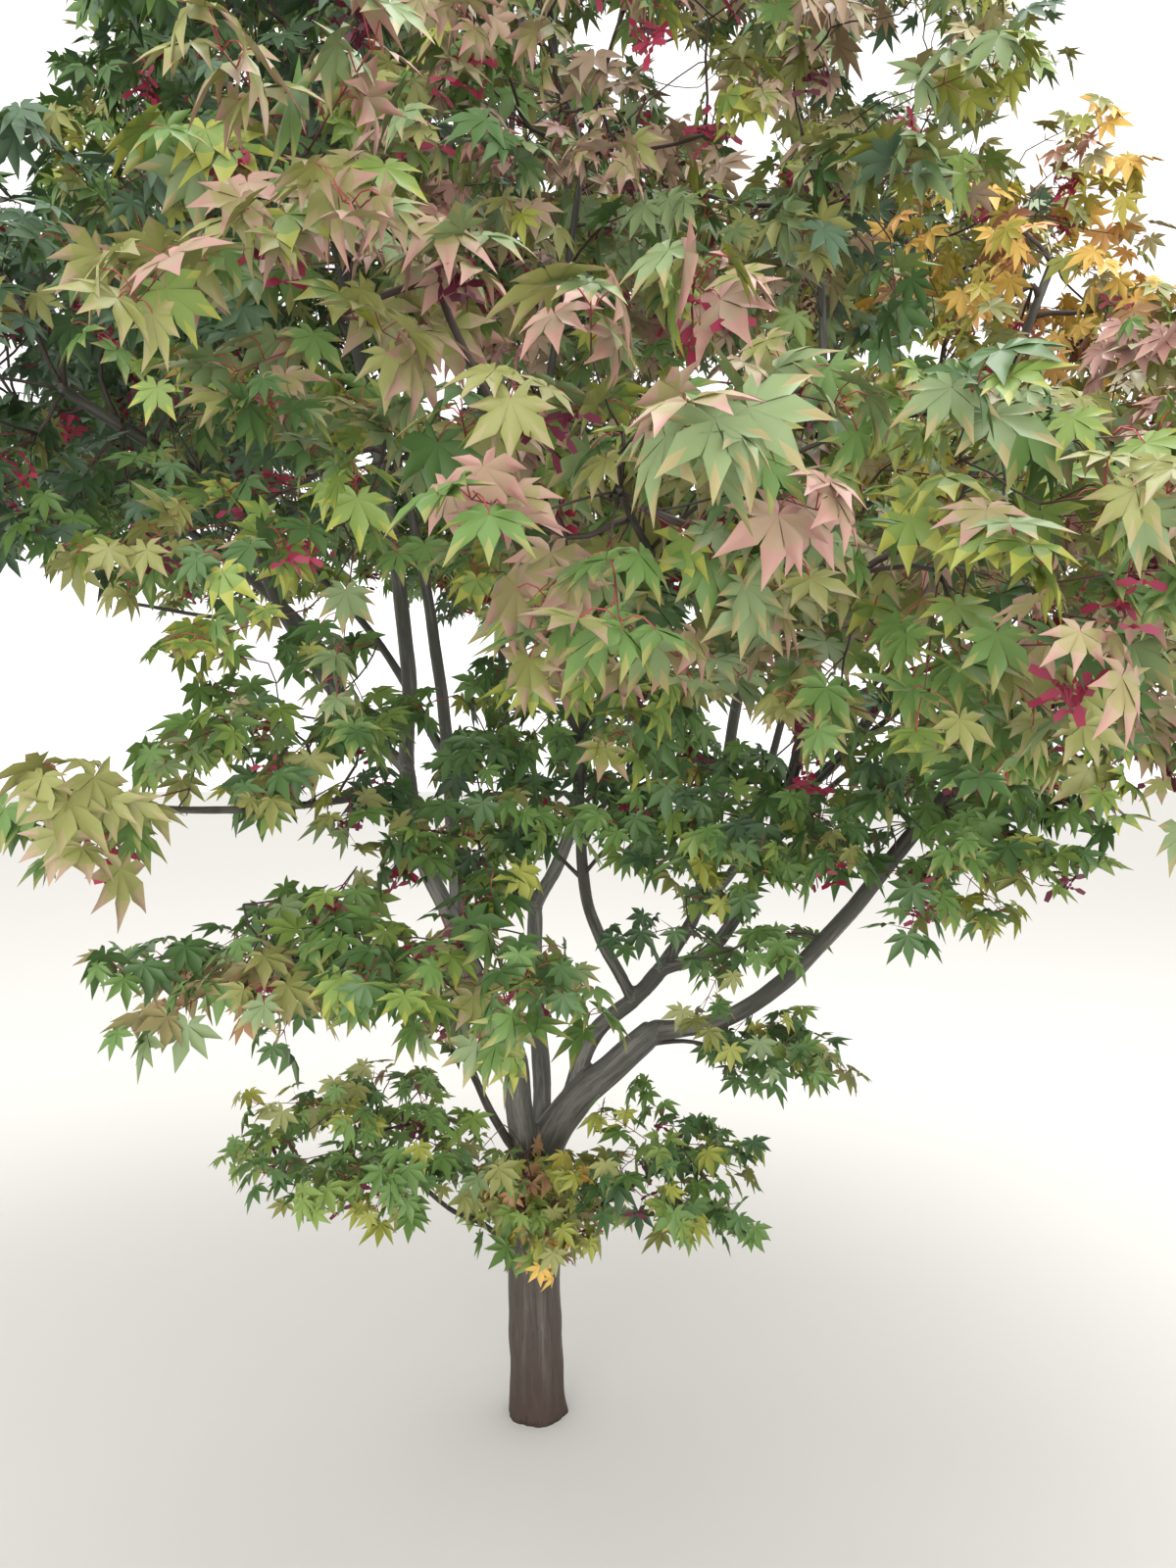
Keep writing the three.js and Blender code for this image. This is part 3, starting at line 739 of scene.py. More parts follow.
for carrier in range(foot_count):
    offer(carrier, reluctance[carrier])
waiting = np.ones(count, bool)
order = []
for _ in range(count):
    chosen = int(np.where(waiting, cost, np.inf).argmin())
    waiting[chosen] = False
    order.append(chosen)
    grown = foot_count + chosen
    way[grown] = way[parent[chosen]] + np.linalg.norm(spot[grown] - spot[parent[chosen]])
    frozen = cost[~waiting].copy(), parent[~waiting].copy()
    offer(grown, 0.0)
    cost[~waiting], parent[~waiting] = frozen
print("longest way from a limb to a spray", round(float(way[foot_count:].max()), 2), "m")

# %% Thickness
TWIG_RADIUS = 0.0013
PIPE_POWER = 2.35
THICKEST_SHARE = 0.7

load = np.full(count, TWIG_RADIUS**PIPE_POWER)
for chosen in reversed(order):
    if parent[chosen] >= foot_count:
        load[parent[chosen] - foot_count] += load[chosen]
branch_radius = load ** (1 / PIPE_POWER)
on_limb = parent < foot_count
branch_radius[on_limb] = np.minimum(branch_radius[on_limb], THICKEST_SHARE * carrier_radius[parent[on_limb]])
print("thickest branch", round(1000 * branch_radius.max(), 1), "mm in radius")

# %% [markdown]
# ## Branches and twigs as joined tubes
# There are thousands of twigs, so they are made from arrays: the corner points of all tubes are
# worked out at once and go into one mesh. Operators would do the same, one twig at a time, much more
# slowly. A branch leaves along its carrier's own direction and bends over to that of its spray.

# %% Tubes from arrays
UPRIGHT = 0.8
TWIG_ROWS = 4


def copies(faces, many, corners_each):
    """The triangles of many copies of one shape."""
    return (np.array(faces)[None] + np.arange(many)[:, None, None] * corners_each).reshape(-1, 3)


def tubes(lines, radii, sides):
    """Closed tubes along many lines of equal length: their corner points and triangles."""
    many, rows = lines.shape[:2]
    ahead = unit(np.gradient(lines, axis=1))
    chord = unit(lines[:, -1] - lines[:, 0])
    aside = np.where(np.abs(chord[:, 2:]) > UPRIGHT, (1.0, 0.0, 0.0), (0.0, 0.0, 1.0))
    across = unit(np.cross(ahead, aside[:, None, :]))
    other = np.cross(ahead, across)
    angle = np.arange(sides) * 2 * math.pi / sides
    out = across[:, :, None] * np.cos(angle)[:, None] + other[:, :, None] * np.sin(angle)[:, None]
    corners = lines[:, :, None] + out * radii[:, :, None, None]
    faces = []
    for row in range(rows - 1):
        for side in range(sides):
            a, b = row * sides + side, row * sides + (side + 1) % sides
            faces += [(a, b, b + sides), (a, b + sides, a + sides)]
    last = (rows - 1) * sides
    for side in range(1, sides - 1):
        faces += [(0, side + 1, side), (last, last + side, last + side + 1)]
    return corners.reshape(-1, 3), copies(faces, many, rows * sides)


def joined(parts):
    """Several sets of corner points and triangles as one."""
    starts = np.cumsum([0] + [len(corners) for corners, _ in parts])
    return (np.vstack([corners for corners, _ in parts]),
            np.vstack([faces + start for start, (_, faces) in zip(starts, parts)]))


def mesh_from_arrays(name, corners, faces):
    mesh = bpy.data.meshes.new(name)
    mesh.from_pydata(corners.tolist(), [], faces.tolist())
    return add_object(name, mesh)


upright_line = np.array([[(0, 0, height) for height in range(TWIG_ROWS)]], float)
print(len(tubes(upright_line, np.ones((1, TWIG_ROWS)), 3)[1]), "triangles in the tube of one twig")

# %% Branches
STOUT, SLIGHT = 0.0042, 0.0022
STOUT_SIDES, MIDDLE_SIDES, SLIGHT_SIDES = 6, 4, 3
LONG, LONG_ROWS, SHORT_ROWS = 0.13, 8, 4
BEND = 0.6
FOOT_SWELL, THICKEST_FOOT = (1.15, 1.1), 0.02     # swell on a limb and on another branch


def bent_lines(start, start_ahead, end, end_ahead, rows):
    """Smooth lines between two points each, with their directions at both ends."""
    t = np.linspace(0, 1, rows)[None, :, None]
    reach = np.linalg.norm(end - start, axis=1)[:, None, None]
    return (start[:, None] * (2 * t**3 - 3 * t**2 + 1) + end[:, None] * (3 * t**2 - 2 * t**3)
            + start_ahead[:, None] * reach * (t**3 - 2 * t**2 + t)
            + end_ahead[:, None] * reach * (t**3 - t**2))


from_carrier = spot[parent]
way_there = np.linalg.norm(spray_foot - from_carrier, axis=1)
straight = unit(spray_foot - from_carrier + 1e-9)
foot_radius = np.where(on_limb, branch_radius * FOOT_SWELL[0],
                       np.minimum(branch_radius * FOOT_SWELL[1], THICKEST_FOOT))
stout, slight = branch_radius > STOUT, branch_radius < SLIGHT

branch_parts = []
for group, sides in ((stout, STOUT_SIDES), (~stout & ~slight, MIDDLE_SIDES), (slight, SLIGHT_SIDES)):
    for long_way, rows in ((way_there > LONG, LONG_ROWS), (way_there <= LONG, SHORT_ROWS)):
        pick = group & long_way
        lines = bent_lines(from_carrier[pick], unit(BEND * heading[parent[pick]] + straight[pick]),
                           spray_foot[pick], unit(BEND * spray_ahead[pick] + straight[pick]), rows)
        taper = np.linspace(0, 1, rows)
        radii = foot_radius[pick, None] + (branch_radius - foot_radius)[pick, None] * taper
        branch_parts.append(tubes(lines, radii, sides))
branches = mesh_from_arrays("branches", *joined(branch_parts))
print(len(branches.data.polygons), "triangles of branches")

# %% Twigs
TWIG_SAG = 0.10
TWIG_TIP = 0.55


def on_twigs(shares):
    """The points at these shares of the length of each twig."""
    return (spray_foot[:, None] + spray_ahead[:, None] * (twig_length[:, None] * shares)[..., None]
            - UP * (TWIG_SAG * twig_length[:, None] * shares**2)[..., None])


along = np.linspace(0, 1, TWIG_ROWS)
twig_radii = TWIG_RADIUS * (1 + (TWIG_TIP - 1) * along) * np.ones((count, 1))
twigs = mesh_from_arrays("twigs", *tubes(on_twigs(along), twig_radii, 3))
print(len(twigs.data.polygons), "triangles of twigs")

# %% [markdown]
# ## The shape of one leaf
# The leaf has seven pointed lobes, the middle ones long and the two at the stalk short. A leaf is
# repeated thousands of times, so it has only a few dozen triangles: those near the camera have
# fuller lobes, and those far away are plain stars. Each lobe is folded a little along its midrib, and its
# tip hangs. Five slightly different leaves of each kind keep the tree from looking stamped.

# %% Leaf measures
LOBES = 7
LOBE_ANGLES = np.radians([-130, -84, -41, 0, 41, 84, 130])
LOBE_LENGTHS = np.array([0.44, 0.78, 0.97, 1.0, 0.97, 0.78, 0.44])
NOTCH_RADII = np.array([0.10, 0.26, 0.32, 0.34, 0.34, 0.32, 0.26, 0.10])
BELLY = (0.50, 0.180)       # place along the lobe and half width, both as shares of its length
SHOULDER = (0.76, 0.074)
MIDRIB = 0.48
NEAR, MEDIUM, FAR = 0, 1, 2
FAR_NOTCH = 1.2
ANGLE_SPREAD, LENGTH_RANGE = 0.06, (0.86, 1.1)
LAST_NOTCH = 0.55
SHAPE_SEED = 5
# how much the tips hang, how deep the lobes fold, how much the sides drop
LEAF_HABITS = [(0.07, 0.06, 0.02), (0.16, 0.07, 0.10), (0.26, 0.06, 0.20), (0.10, 0.09, -0.12),
               (0.22, 0.05, 0.55)]
HABIT_SHARES = (0.26, 0.28, 0.18, 0.16, 0.12)
print(LOBES, "lobes and", len(LEAF_HABITS), "habits")

# %% Leaf shapes
def leaf_shape(detail, habit, variation):
    """Corner points of one leaf of length 1 that lies flat with its tip along +Y, its triangles, and
    the band of each: 0 in the middle of a near leaf, 2 at the tips of its lobes, or else 1."""
    hang, fold, drop = habit
    angles = LOBE_ANGLES + variation.normal(0, ANGLE_SPREAD, LOBES)
    lengths = LOBE_LENGTHS * variation.uniform(*LENGTH_RANGE, LOBES)
    between = np.concatenate([[angles[0] - LAST_NOTCH], (angles[1:] + angles[:-1]) / 2,
                              [angles[-1] + LAST_NOTCH]])
    notch_radii = NOTCH_RADII * (FAR_NOTCH if detail == FAR else 1)
    corners, faces, outer = [(0.0, 0.0, 0.0)], [], []

    def corner(angle, along, aside, lift):
        x = along * math.sin(angle) + aside * math.cos(angle)
        y = along * math.cos(angle) - aside * math.sin(angle)
        corners.append((x, y, lift * fold - hang * (x * x + y * y) - drop * x * x))
        return len(corners) - 1

    notches = [corner(angle, radius, 0, 1.0) for angle, radius in zip(between, notch_radii)]
    for i, (angle, length) in enumerate(zip(angles, lengths)):
        tip = corner(angle, length, 0, 0.0)
        if detail == FAR:
            faces += [(0, tip, notches[i]), (0, notches[i + 1], tip)]
            outer += [1, 1]
            continue
        rich = detail == NEAR and 0 < i < LOBES - 1
        middle = corner(angle, MIDRIB * length, 0, 0.0) if rich else tip
        for side, notch in ((-1, notches[i]), (1, notches[i + 1])):
            belly = corner(angle, BELLY[0] * length, side * BELLY[1] * length, 1.0)
            half, steps = [(0, belly, notch), (0, middle, belly)], [1 - rich, 1 - rich]
            if rich:
                shoulder = corner(angle, SHOULDER[0] * length, side * SHOULDER[1] * length, 0.5)
                half += [(middle, shoulder, belly), (middle, tip, shoulder)]
                steps += [1, 2]
            faces += half if side < 0 else [face[::-1] for face in half]
            outer += steps
    return np.array(corners), np.array(faces), np.array(outer)


shape_rng = np.random.default_rng(SHAPE_SEED)
LEAVES = {detail: [leaf_shape(detail, habit, shape_rng) for habit in LEAF_HABITS]
          for detail in (NEAR, MEDIUM, FAR)}
print("triangles of a near, a medium and a far leaf:", [len(LEAVES[d][0][1]) for d in (NEAR, MEDIUM, FAR)])

# %% [markdown]
# ## Sprays
# Maple leaves grow in pairs, one on each side of the twig, on thin red stalks. From one pair to
# the next the twig turns, but each stalk bends until its leaf faces the light, and the blade hangs
# from the end of its stalk, point down.

# %% Leaf places
LEAF_SHARES = np.append(np.repeat([0.28, 0.52, 0.76, 0.98], 2), 1.0)     # along the twig
LEAF_SIDES = np.append(np.tile([1.0, -1.0], 4), 0.0)
PAIR_TURNS, TURN_SPREAD = np.array([0, 0, 55, 55, -15, -15, 40, 40, 0]), 22
STALK_AHEAD, STALK_UP, STALK_LENGTH = 0.7, 0.25, (0.020, 0.042)
HANG, HANG_SPREAD, HANG_LIMITS = 46, 26, (-15, 88)
FACING_SPREAD, ROLL_SPREAD = 0.5, 27
LEAF_LENGTH = {"close": 0.051, "wide": 0.058}
LARGE_LEAVED = {"front_left": 1.24, "front_centre": 1.18, "front_inner": 1.1, "left_spray": 1.12,
                "front_right": 1.08, "centre_low": 1.1}
SIZE_RANGE, END_SIZE = (0.68, 1.14), 0.85
MISSING = 0.07

per_spray = len(LEAF_SHARES)
grid = (count, per_spray)
level_side = unit(np.cross(spray_ahead, UP))
raised = np.cross(level_side, spray_ahead)

leaf_node = on_twigs(LEAF_SHARES)
turn = np.radians(PAIR_TURNS + rng.normal(0, TURN_SPREAD, grid))[..., None]
stalk_ahead = unit(
    STALK_AHEAD * spray_ahead[:, None]
    + LEAF_SIDES[:, None] * (level_side[:, None] * np.cos(turn) + raised[:, None] * np.sin(turn))
    + UP * STALK_UP
)
stalk_length = rng.uniform(*STALK_LENGTH, grid)
leaf_place = leaf_node + stalk_ahead * stalk_length[..., None]

level = unit((stalk_ahead + rng.normal(0, FACING_SPREAD, stalk_ahead.shape)) * (1, 1, 0) + 1e-6)
hang = np.radians(np.clip(rng.normal(HANG, HANG_SPREAD, grid), *HANG_LIMITS))[..., None]
roll = np.radians(rng.normal(0, ROLL_SPREAD, grid))[..., None]
blade_ahead = level * np.cos(hang) - UP * np.sin(hang)
blade_up = UP * np.cos(hang) + level * np.sin(hang)
blade_side = np.cross(blade_ahead, blade_up)
blade_up = blade_up * np.cos(roll) + blade_side * np.sin(roll)
blade_side = np.cross(blade_ahead, blade_up)

wide = np.array([FOLIAGE[name][1] >= WIDE for name in spray_mass])
leaf_size = np.where(wide, LEAF_LENGTH["wide"], LEAF_LENGTH["close"])[:, None]
leaf_size = leaf_size * np.array([LARGE_LEAVED.get(name, 1.0) for name in spray_mass])[:, None]
leaf_size = leaf_size * rng.uniform(*SIZE_RANGE, grid) * np.where(LEAF_SIDES == 0, END_SIZE, 1.0)
present = rng.random(grid) > MISSING
print(present.sum(), "leaves")

# %% [markdown]
# ## Autumn tints
# The tree turns from the outside: leaves in full light go dusty pink or gold first, those inside
# stay green. A spray turns as a whole, so each spray is dealt a main and a second tint from the palette of
# its mass, and a few of its leaves differ. Each tint is one plain colour. A leaf near the camera has
# three of them: its own, a greener one in the middle of the blade and a redder one at the tips.

# %% Tints
TINTS = {
    "deep_green": (60, 86, 52), "blue_green": (82, 106, 80), "dark_green": (74, 104, 54),
    "mid_green": (96, 126, 62), "grey_green": (120, 138, 92), "fresh_green": (118, 140, 66),
    "yellow_green": (150, 154, 66), "lemon": (178, 166, 72), "olive": (136, 138, 78),
    "khaki": (150, 140, 96), "dusty": (164, 140, 116), "rose": (172, 132, 120), "tan": (168, 130, 90),
    "gold": (210, 172, 84), "orange": (204, 154, 90), "russet": (142, 94, 66),
}
LEAF_ROUGHNESS = 0.5

tint_names = list(TINTS)
tint_materials = [plain_material("leaf_" + name, colour, LEAF_ROUGHNESS)
                  for name, colour in TINTS.items()]
print(len(tint_materials), "tints")

# %% Palettes
# Parts of each tint among the sprays of a palette
PALETTES = {
    # shade is painted shade: darker, bluer greens for the masses that lie in the crown's shade
    "shade": {"deep_green": 18, "blue_green": 30, "dark_green": 26, "mid_green": 18, "olive": 8},
    "green": {"deep_green": 8, "dark_green": 32, "mid_green": 32, "fresh_green": 14, "olive": 8,
              "yellow_green": 6},
    "fresh": {"dark_green": 18, "mid_green": 30, "grey_green": 10, "fresh_green": 20,
              "yellow_green": 10, "olive": 10, "khaki": 2},
    "bronze": {"dark_green": 14, "mid_green": 26, "grey_green": 8, "olive": 28, "khaki": 14, "tan": 10},
    "hazy": {"dark_green": 7, "blue_green": 12, "grey_green": 31, "fresh_green": 6, "olive": 21,
             "yellow_green": 5, "dusty": 9, "khaki": 9},
    "turning": {"dark_green": 13, "mid_green": 23, "grey_green": 16, "fresh_green": 11,
                "yellow_green": 8, "olive": 17, "khaki": 6, "dusty": 6},
    "blush": {"dark_green": 8, "mid_green": 15, "grey_green": 18, "fresh_green": 7, "yellow_green": 6,
              "olive": 13, "khaki": 9, "dusty": 15, "rose": 9},
    "rosy": {"mid_green": 14, "grey_green": 15, "fresh_green": 6, "yellow_green": 6, "olive": 14,
             "khaki": 12, "dusty": 20, "rose": 13},
    "gold": {"olive": 16, "yellow_green": 18, "lemon": 14, "khaki": 6, "gold": 34, "orange": 10,
             "russet": 2},
    "golden_green": {"mid_green": 8, "fresh_green": 18, "yellow_green": 26, "olive": 20, "khaki": 8,
                     "tan": 8, "lemon": 8, "gold": 4},
}
print(len(PALETTES), "palettes")

# %% Dealing the tints
# The tints in the middle of the blade and at its tips, where they are not the leaf's own
FADES = {
    "mid_green": ("mid_green", "olive"), "grey_green": ("grey_green", "khaki"),
    "fresh_green": ("fresh_green", "yellow_green"), "yellow_green": ("fresh_green", "yellow_green"),
    "lemon": ("yellow_green", "lemon"), "olive": ("olive", "khaki"), "khaki": ("olive", "dusty"),
    "dusty": ("khaki", "rose"), "rose": ("dusty", "rose"), "tan": ("olive", "tan"),
    "gold": ("lemon", "gold"),
}
SECOND_SHARE, ODD_SHARE = 0.28, 0.24

faded = []
for name in tint_names:
    blade_middle, tips = FADES.get(name, (name, name))
    faded.append([tint_names.index(step) for step in (blade_middle, name, tips)])
faded = np.array(faded)


def deal(names_of_palettes):
    """Deals one tint to each of the palettes named."""
    dealt = np.empty(len(names_of_palettes), int)
    for i, palette in enumerate(names_of_palettes):
        names, weights = zip(*PALETTES[palette].items())
        dealt[i] = tint_names.index(rng.choice(names, p=np.array(weights) / sum(weights)))
    return dealt


spray_palette = [FOLIAGE[name][0] for name in spray_mass]
main_tint, second_tint = deal(spray_palette)[:, None], deal(spray_palette)[:, None]
draw = rng.random(grid)
leaf_tint = np.where(draw < SECOND_SHARE, second_tint, main_tint)
odd = draw > 1 - ODD_SHARE
leaf_tint[odd] = deal([spray_palette[i] for i in np.nonzero(odd)[0]])
print({name: int((leaf_tint[present] == i).sum()) for i, name in enumerate(tint_names)})

# %% [markdown]
# ## The leaves as joined meshes
# All leaves of one part of the tree become one mesh with a material slot for each tint. The corner
# points of all its leaves of one shape are worked out in a single step.

# %% Leaf meshes
NEAR_REACH, MEDIUM_REACH = 1.65, 3.1

from_eye = np.linalg.norm(leaf_place - EYE, axis=2)
leaf_detail = np.where(from_eye < NEAR_REACH, NEAR, np.where(from_eye < MEDIUM_REACH, MEDIUM, FAR))
leaf_habit = rng.choice(len(LEAF_HABITS), leaf_tint.shape, p=HABIT_SHARES)


def placed(corners, size, place, x, y, z):
    """The corner points of one shape at many places, each with its own size and directions."""
    turned = (corners[None, :, 0:1] * x[:, None] + corners[None, :, 1:2] * y[:, None]
              + corners[None, :, 2:3] * z[:, None])
    return (place[:, None] + size[:, None, None] * turned).reshape(-1, 3)


def leaves_of(chosen, detail, habit):
    """Corner points and triangles of all chosen leaves of one shape, with the tint of each triangle."""
    corners, faces, outer = LEAVES[detail][habit]
    pick = chosen & (leaf_detail == detail) & (leaf_habit == habit)
    made = placed(corners, leaf_size[pick], leaf_place[pick], blade_side[pick], blade_ahead[pick],
                  blade_up[pick])
    tint = faded[leaf_tint[pick][:, None], outer[None]]
    return made, copies(faces, int(pick.sum()), len(corners)), tint.ravel()


leaf_pieces = []
for region in dict.fromkeys(region for _, _, region in FOLIAGE.values()):
    names = [name for name in FOLIAGE if FOLIAGE[name][2] == region]
    chosen = np.isin(spray_mass, names)[:, None] & present
    made = [leaves_of(chosen, detail, habit) for detail in LEAVES for habit in range(len(LEAF_HABITS))]
    made = [part for part in made if len(part[1])]
    piece = mesh_from_arrays("leaves_" + region, *joined([part[:2] for part in made]))
    tints = np.concatenate([part[2] for part in made])
    used = np.unique(tints)
    for tint in used:
        piece.data.materials.append(tint_materials[tint])
    piece.data.polygons.foreach_set("material_index", np.searchsorted(used, tints))
    piece.data.shade_smooth()
    leaf_pieces.append((piece, "foliage", names))
    print(piece.name, len(tints), "triangles")

# %% Leaf stalks
STALK_RADIUS, SPIKE_SHARE = 0.0008, 1.3
STALK_ARCH, STALK_ROWS = 0.25, 4
THIRDS = (0, 2.094, 4.189)
NEARLY_UP = UP + (0.01, 0.02, 0)

near_leaf = present & (leaf_detail == NEAR)
far_leaf = present & (leaf_detail != NEAR)


def arched_stalks(pick, rows):
    """Lines from the twig to the leaf that rise and then bend down."""
    t = np.linspace(0, 1, rows)[None, :, None]
    rise = UP * (stalk_length[pick] * STALK_ARCH)[:, None, None] * 4 * t * (1 - t)
    return leaf_node[pick][:, None] * (1 - t) + leaf_place[pick][:, None] * t + rise


def spikes(start, end, radius):
    """Three-sided spikes of four triangles each."""
    ahead = unit(end - start)
    across = unit(np.cross(ahead, NEARLY_UP))
    other = np.cross(ahead, across)
    ring = [start + radius * (across * math.cos(a) + other * math.sin(a)) for a in THIRDS]
    corners = np.stack([*ring, end], axis=1)
    faces = [(0, 1, 3), (1, 2, 3), (2, 0, 3), (0, 2, 1)]
    return corners.reshape(-1, 3), copies(faces, len(start), len(faces))


near_lines = arched_stalks(near_leaf, STALK_ROWS)
near_radii = np.full(near_lines.shape[:2], STALK_RADIUS)
stalks = mesh_from_arrays("leaf_stalks", *joined([
    tubes(near_lines, near_radii, 3),
    spikes(leaf_node[far_leaf], leaf_place[far_leaf], STALK_RADIUS * SPIKE_SHARE),
]))
print(len(stalks.data.polygons), "triangles of leaf stalks")

# %% [markdown]
# ## Winged seeds
# Crimson seeds hang in bunches under the leaves. Each is a pair: two small nuts side by side, with
# a thin wing to each side. A pair is fourteen triangles, and a bunch is a handful of pairs on threads.

# %% Seeds
WING = [(0.002, 0.0), (0.011, -0.0035), (0.0215, -0.0035), (0.0235, 0.003), (0.012, 0.0055)]
WING_DROP = 0.2
NUT, NUT_LENGTH, NUT_DROP, NUT_START = 0.0026, 2.2, 0.3, 0.0002


def seed_pair():
    """A pair of seeds that spreads along X, its wings' faces towards Y."""
    fan = [(0, k, k + 1) for k in (1, 2, 3)]                # corners 0 to 4 are the wing
    nut = [(5, 7, 6), (5, 6, 8), (6, 7, 8), (7, 5, 8)]      # and 5 to 8 the nut
    corners, faces = [], []
    for side in (1, -1):
        start = len(corners)
        corners += [(side * x, 0.0, z - WING_DROP * x) for x, z in WING]
        corners += [(side * NUT_START, y, z) for y, z in ((0, NUT), (NUT, -NUT), (-NUT, -NUT))]
        corners.append((side * NUT_LENGTH * NUT, 0, -NUT_DROP * NUT))
        faces += [tuple(start + k for k in face[::side]) for face in fan + nut]
    return np.array(corners), np.array(faces)


pair_corners, pair_faces = seed_pair()
print(len(pair_faces), "triangles in a pair of seeds")

# %% Bunches of seeds
BUNCH_SHARE, BUNCH_LEAVES, PAIRS = 0.27, 6, (5, 9)
BUNCH_DROP, BUNCH_SWAY, BUNCH_SPREAD = 0.028, 0.006, 0.013
PAIR_SIZES, PAIR_LEVEL, PAIR_TILT = (0.8, 1.1), (1, 1, 0.5), 0.3
BUNCH_THREAD, PAIR_THREAD = 0.0007, 0.0004
SEED_COLOURS = {"seed_crimson": (134, 28, 58), "seed_dark": (94, 24, 48), "seed_pink": (156, 44, 72)}
SEED_SHARES, SEED_ROUGHNESS = (0.52, 0.34, 0.14), 0.5

bunch_spray = np.flatnonzero(rng.random(count) < BUNCH_SHARE)
pair_count = rng.integers(PAIRS[0], PAIRS[1] + 1, len(bunch_spray))
bunch_node = leaf_node[bunch_spray, rng.integers(0, BUNCH_LEAVES, len(bunch_spray))]
bunch_middle = bunch_node - UP * BUNCH_DROP + rng.normal(0, BUNCH_SWAY, (len(bunch_spray), 3))
pair_bunch = np.repeat(np.arange(len(bunch_spray)), pair_count)
pair_place = bunch_middle[pair_bunch] + rng.normal(0, BUNCH_SPREAD, (len(pair_bunch), 3))
pair_x = unit(rng.normal(size=(len(pair_bunch), 3)) * PAIR_LEVEL)
pair_y = unit(np.cross(UP + PAIR_TILT * rng.normal(size=pair_x.shape), pair_x))
pair_size = rng.uniform(*PAIR_SIZES, len(pair_bunch))
seeds = mesh_from_arrays(
    "winged_seeds", placed(pair_corners, pair_size, pair_place, pair_x, pair_y, np.cross(pair_x, pair_y)),
    copies(pair_faces, len(pair_bunch), len(pair_corners)))
threads = mesh_from_arrays("seed_threads", *joined([
    spikes(bunch_node, bunch_middle, BUNCH_THREAD),
    spikes(bunch_middle[pair_bunch], pair_place, PAIR_THREAD),
]))
for name, colour in SEED_COLOURS.items():
    seeds.data.materials.append(plain_material(name, colour, SEED_ROUGHNESS))
bunch_colour = rng.choice(len(SEED_COLOURS), len(bunch_spray), p=SEED_SHARES)
seeds.data.polygons.foreach_set("material_index", np.repeat(bunch_colour[pair_bunch], len(pair_faces)))
print(len(bunch_spray), "bunches,", len(seeds.data.polygons), "triangles of seeds")

# %% [markdown]
# ## Bark
# One bark serves the whole tree, because its colour follows the girth of the wood: pale grey on the
# boughs, dark or greenish on young branches, and reddish brown at the foot of the trunk. All these
# colours are set darker than the bark's own as painted shade for the crown's shade on the wood, most
# of all at the foot. Pale streaks and fine cracks are noise on the stored grain, stretched along the
# wood.

# %% Bark values
def grey(value):
    return (value, value, value, 1)


# share of the range of girths from THIN to THICK, colour
THIN, THICK = 0.003, 0.06
# painted shade: these stops, the streaks and the foot are darker than the bark's own colour, for the crown's
# shade on the wood
GIRTH_STOPS = [(0.0, linear(48, 43, 38)), (0.09, linear(52, 52, 45)), (0.22, linear(69, 69, 63)),
               (0.5, linear(87, 86, 80)), (1.0, linear(76, 71, 64))]
# the foot's colour is the reddish brown of old bark, made darker still as painted shade low on the trunk
STREAK, FOOT_BROWN_AND_SHADE, CRACK = linear(136, 134, 127), linear(62, 46, 38), linear(48, 40, 36)
FOOT_TOP, FOOT_LOW = 0.40, 0.02
# noise on the grain: its scale across the wood and along it in 1/m, its detail
STREAK_NOISE, STREAK_STOPS = (42, 3.5, 4), [(0.47, grey(0)), (0.66, grey(0.6))]
CRACK_NOISE, CRACK_STOPS = (190, 16, 5), [(0.36, grey(0.55)), (0.50, grey(0))]
GLOSS_NOISE, SMOOTHEST, ROUGHEST = (60, 12, 3), 0.62, 0.9
BUMP_NOISE, BUMP_STRENGTH, BUMP_HEIGHT = (230, 22, 6), 0.5, 0.0015
NOISE_ROUGHNESS = 0.6
# piece, and the name, colour and roughness of its finish
PLAIN_FINISHES = [
    (branches, "young_bark", (64, 52, 46), 0.6), (twigs, "twig_bark", (104, 58, 52), 0.5),
    (stalks, "stalk_red", (168, 66, 72), 0.45), (threads, "thread_red", (150, 60, 70), 0.5),
]
print("bark and", len(PLAIN_FINISHES), "plain finishes")

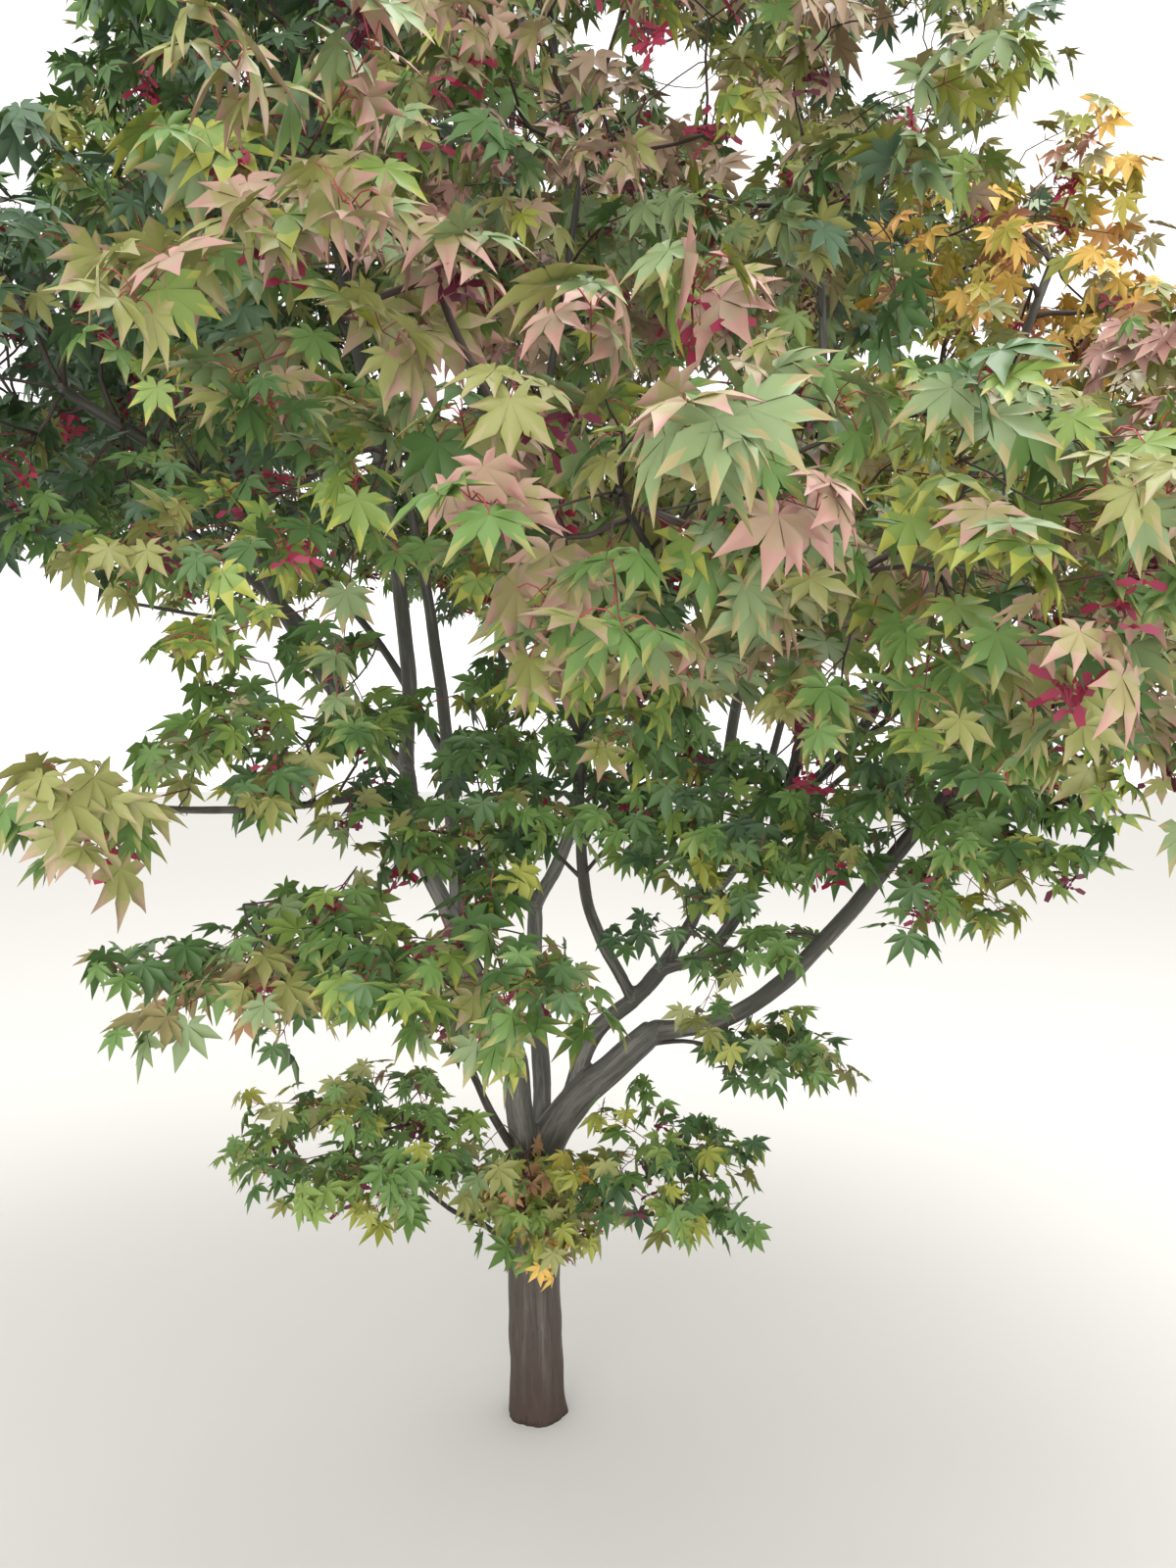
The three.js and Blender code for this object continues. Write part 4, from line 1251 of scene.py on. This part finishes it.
# %% Bark material
def bark_material():
    material = bpy.data.materials.new("maple_bark")
    material.use_nodes = True
    tree = material.node_tree

    def add(kind, output, **values):
        """The output of a new node. A value that is a socket is linked, any other is set."""
        node = tree.nodes.new("ShaderNode" + kind)
        for name, value in values.items():
            socket = name.replace("_", " ")
            if socket not in node.inputs:
                setattr(node, name, value)
            elif isinstance(value, bpy.types.NodeSocket):
                tree.links.new(value, node.inputs[socket])
            else:
                node.inputs[socket].default_value = value
        return node.outputs[output]

    def ramp(share, stops):
        colour = add("ValToRGB", "Color", Fac=share)
        elements = colour.node.color_ramp.elements
        while len(elements) < len(stops):
            elements.new(0.5)
        for element, stop in zip(elements, stops):
            element.position, element.color = stop
        return colour

    def grain_noise(across, along, detail):
        grain = add("Attribute", "Vector", attribute_name="grain")
        stretched = add("Mapping", "Vector", Vector=grain, Scale=(across, across, along))
        return add("TexNoise", "Fac", Vector=stretched, Scale=1.0, Detail=detail,
                   Roughness=NOISE_ROUGHNESS)

    def mixed(share, first, second):
        return add("Mix", "Result", data_type="RGBA", Factor=share, A=first, B=second)

    girth = add("Attribute", "Fac", attribute_name="girth")
    by_girth = add("MapRange", "Result", Value=girth, From_Min=THIN, From_Max=THICK)
    colour = ramp(by_girth, GIRTH_STOPS)
    colour = mixed(ramp(grain_noise(*STREAK_NOISE), STREAK_STOPS), colour, STREAK)
    height = add("SeparateXYZ", "Z", Vector=add("TexCoord", "Object"))
    # towards the foot the bark goes reddish brown, and darker there as painted shade
    at_foot = add("MapRange", "Result", Value=height, From_Min=FOOT_TOP, From_Max=FOOT_LOW)
    colour = mixed(at_foot, colour, FOOT_BROWN_AND_SHADE)
    colour = mixed(ramp(grain_noise(*CRACK_NOISE), CRACK_STOPS), colour, CRACK)
    roughness = add("MapRange", "Result", Value=grain_noise(*GLOSS_NOISE), To_Min=SMOOTHEST,
                    To_Max=ROUGHEST)
    bump = add("Bump", "Normal", Height=grain_noise(*BUMP_NOISE), Strength=BUMP_STRENGTH,
               Distance=BUMP_HEIGHT)
    shader = tree.nodes["Principled BSDF"]
    for name, source in (("Base Color", colour), ("Roughness", roughness), ("Normal", bump)):
        tree.links.new(source, shader.inputs[name])
    return material


bark = bark_material()
for obj in (wood, thin_wood):
    obj.data.materials.clear()
    obj.data.materials.append(bark)
for obj, *finish in PLAIN_FINISHES:
    obj.data.materials.append(plain_material(*finish))
for obj in (branches, twigs, stalks):
    obj.data.shade_smooth()
print("bark on", wood.name, "and", thin_wood.name)

# %% [markdown]
# ## Joining the frame
# Every piece rides on the frame's one body, and the solids of the frame that it stands for are hidden.

# %% Pieces and their places in the frame
thin_names = [limb["name"] for limb in thin if limb["name"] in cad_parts]
stands_for = [(wood, "bark_trunk", [limb["name"] for limb in thick]), (thin_wood, "bark_limb", thin_names)]
stands_for += [(piece, "twig", MASSES) for piece in (branches, twigs, stalks)]
stands_for += [(piece, "seed", MASSES) for piece in (threads, seeds)]
stands_for += leaf_pieces
for piece, slot, nodes in stands_for:
    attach(piece, "root")
    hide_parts(*nodes)
total = sum(len(piece.data.polygons) for piece, _, _ in stands_for)
print(len(stands_for), "pieces,", total, "faces")
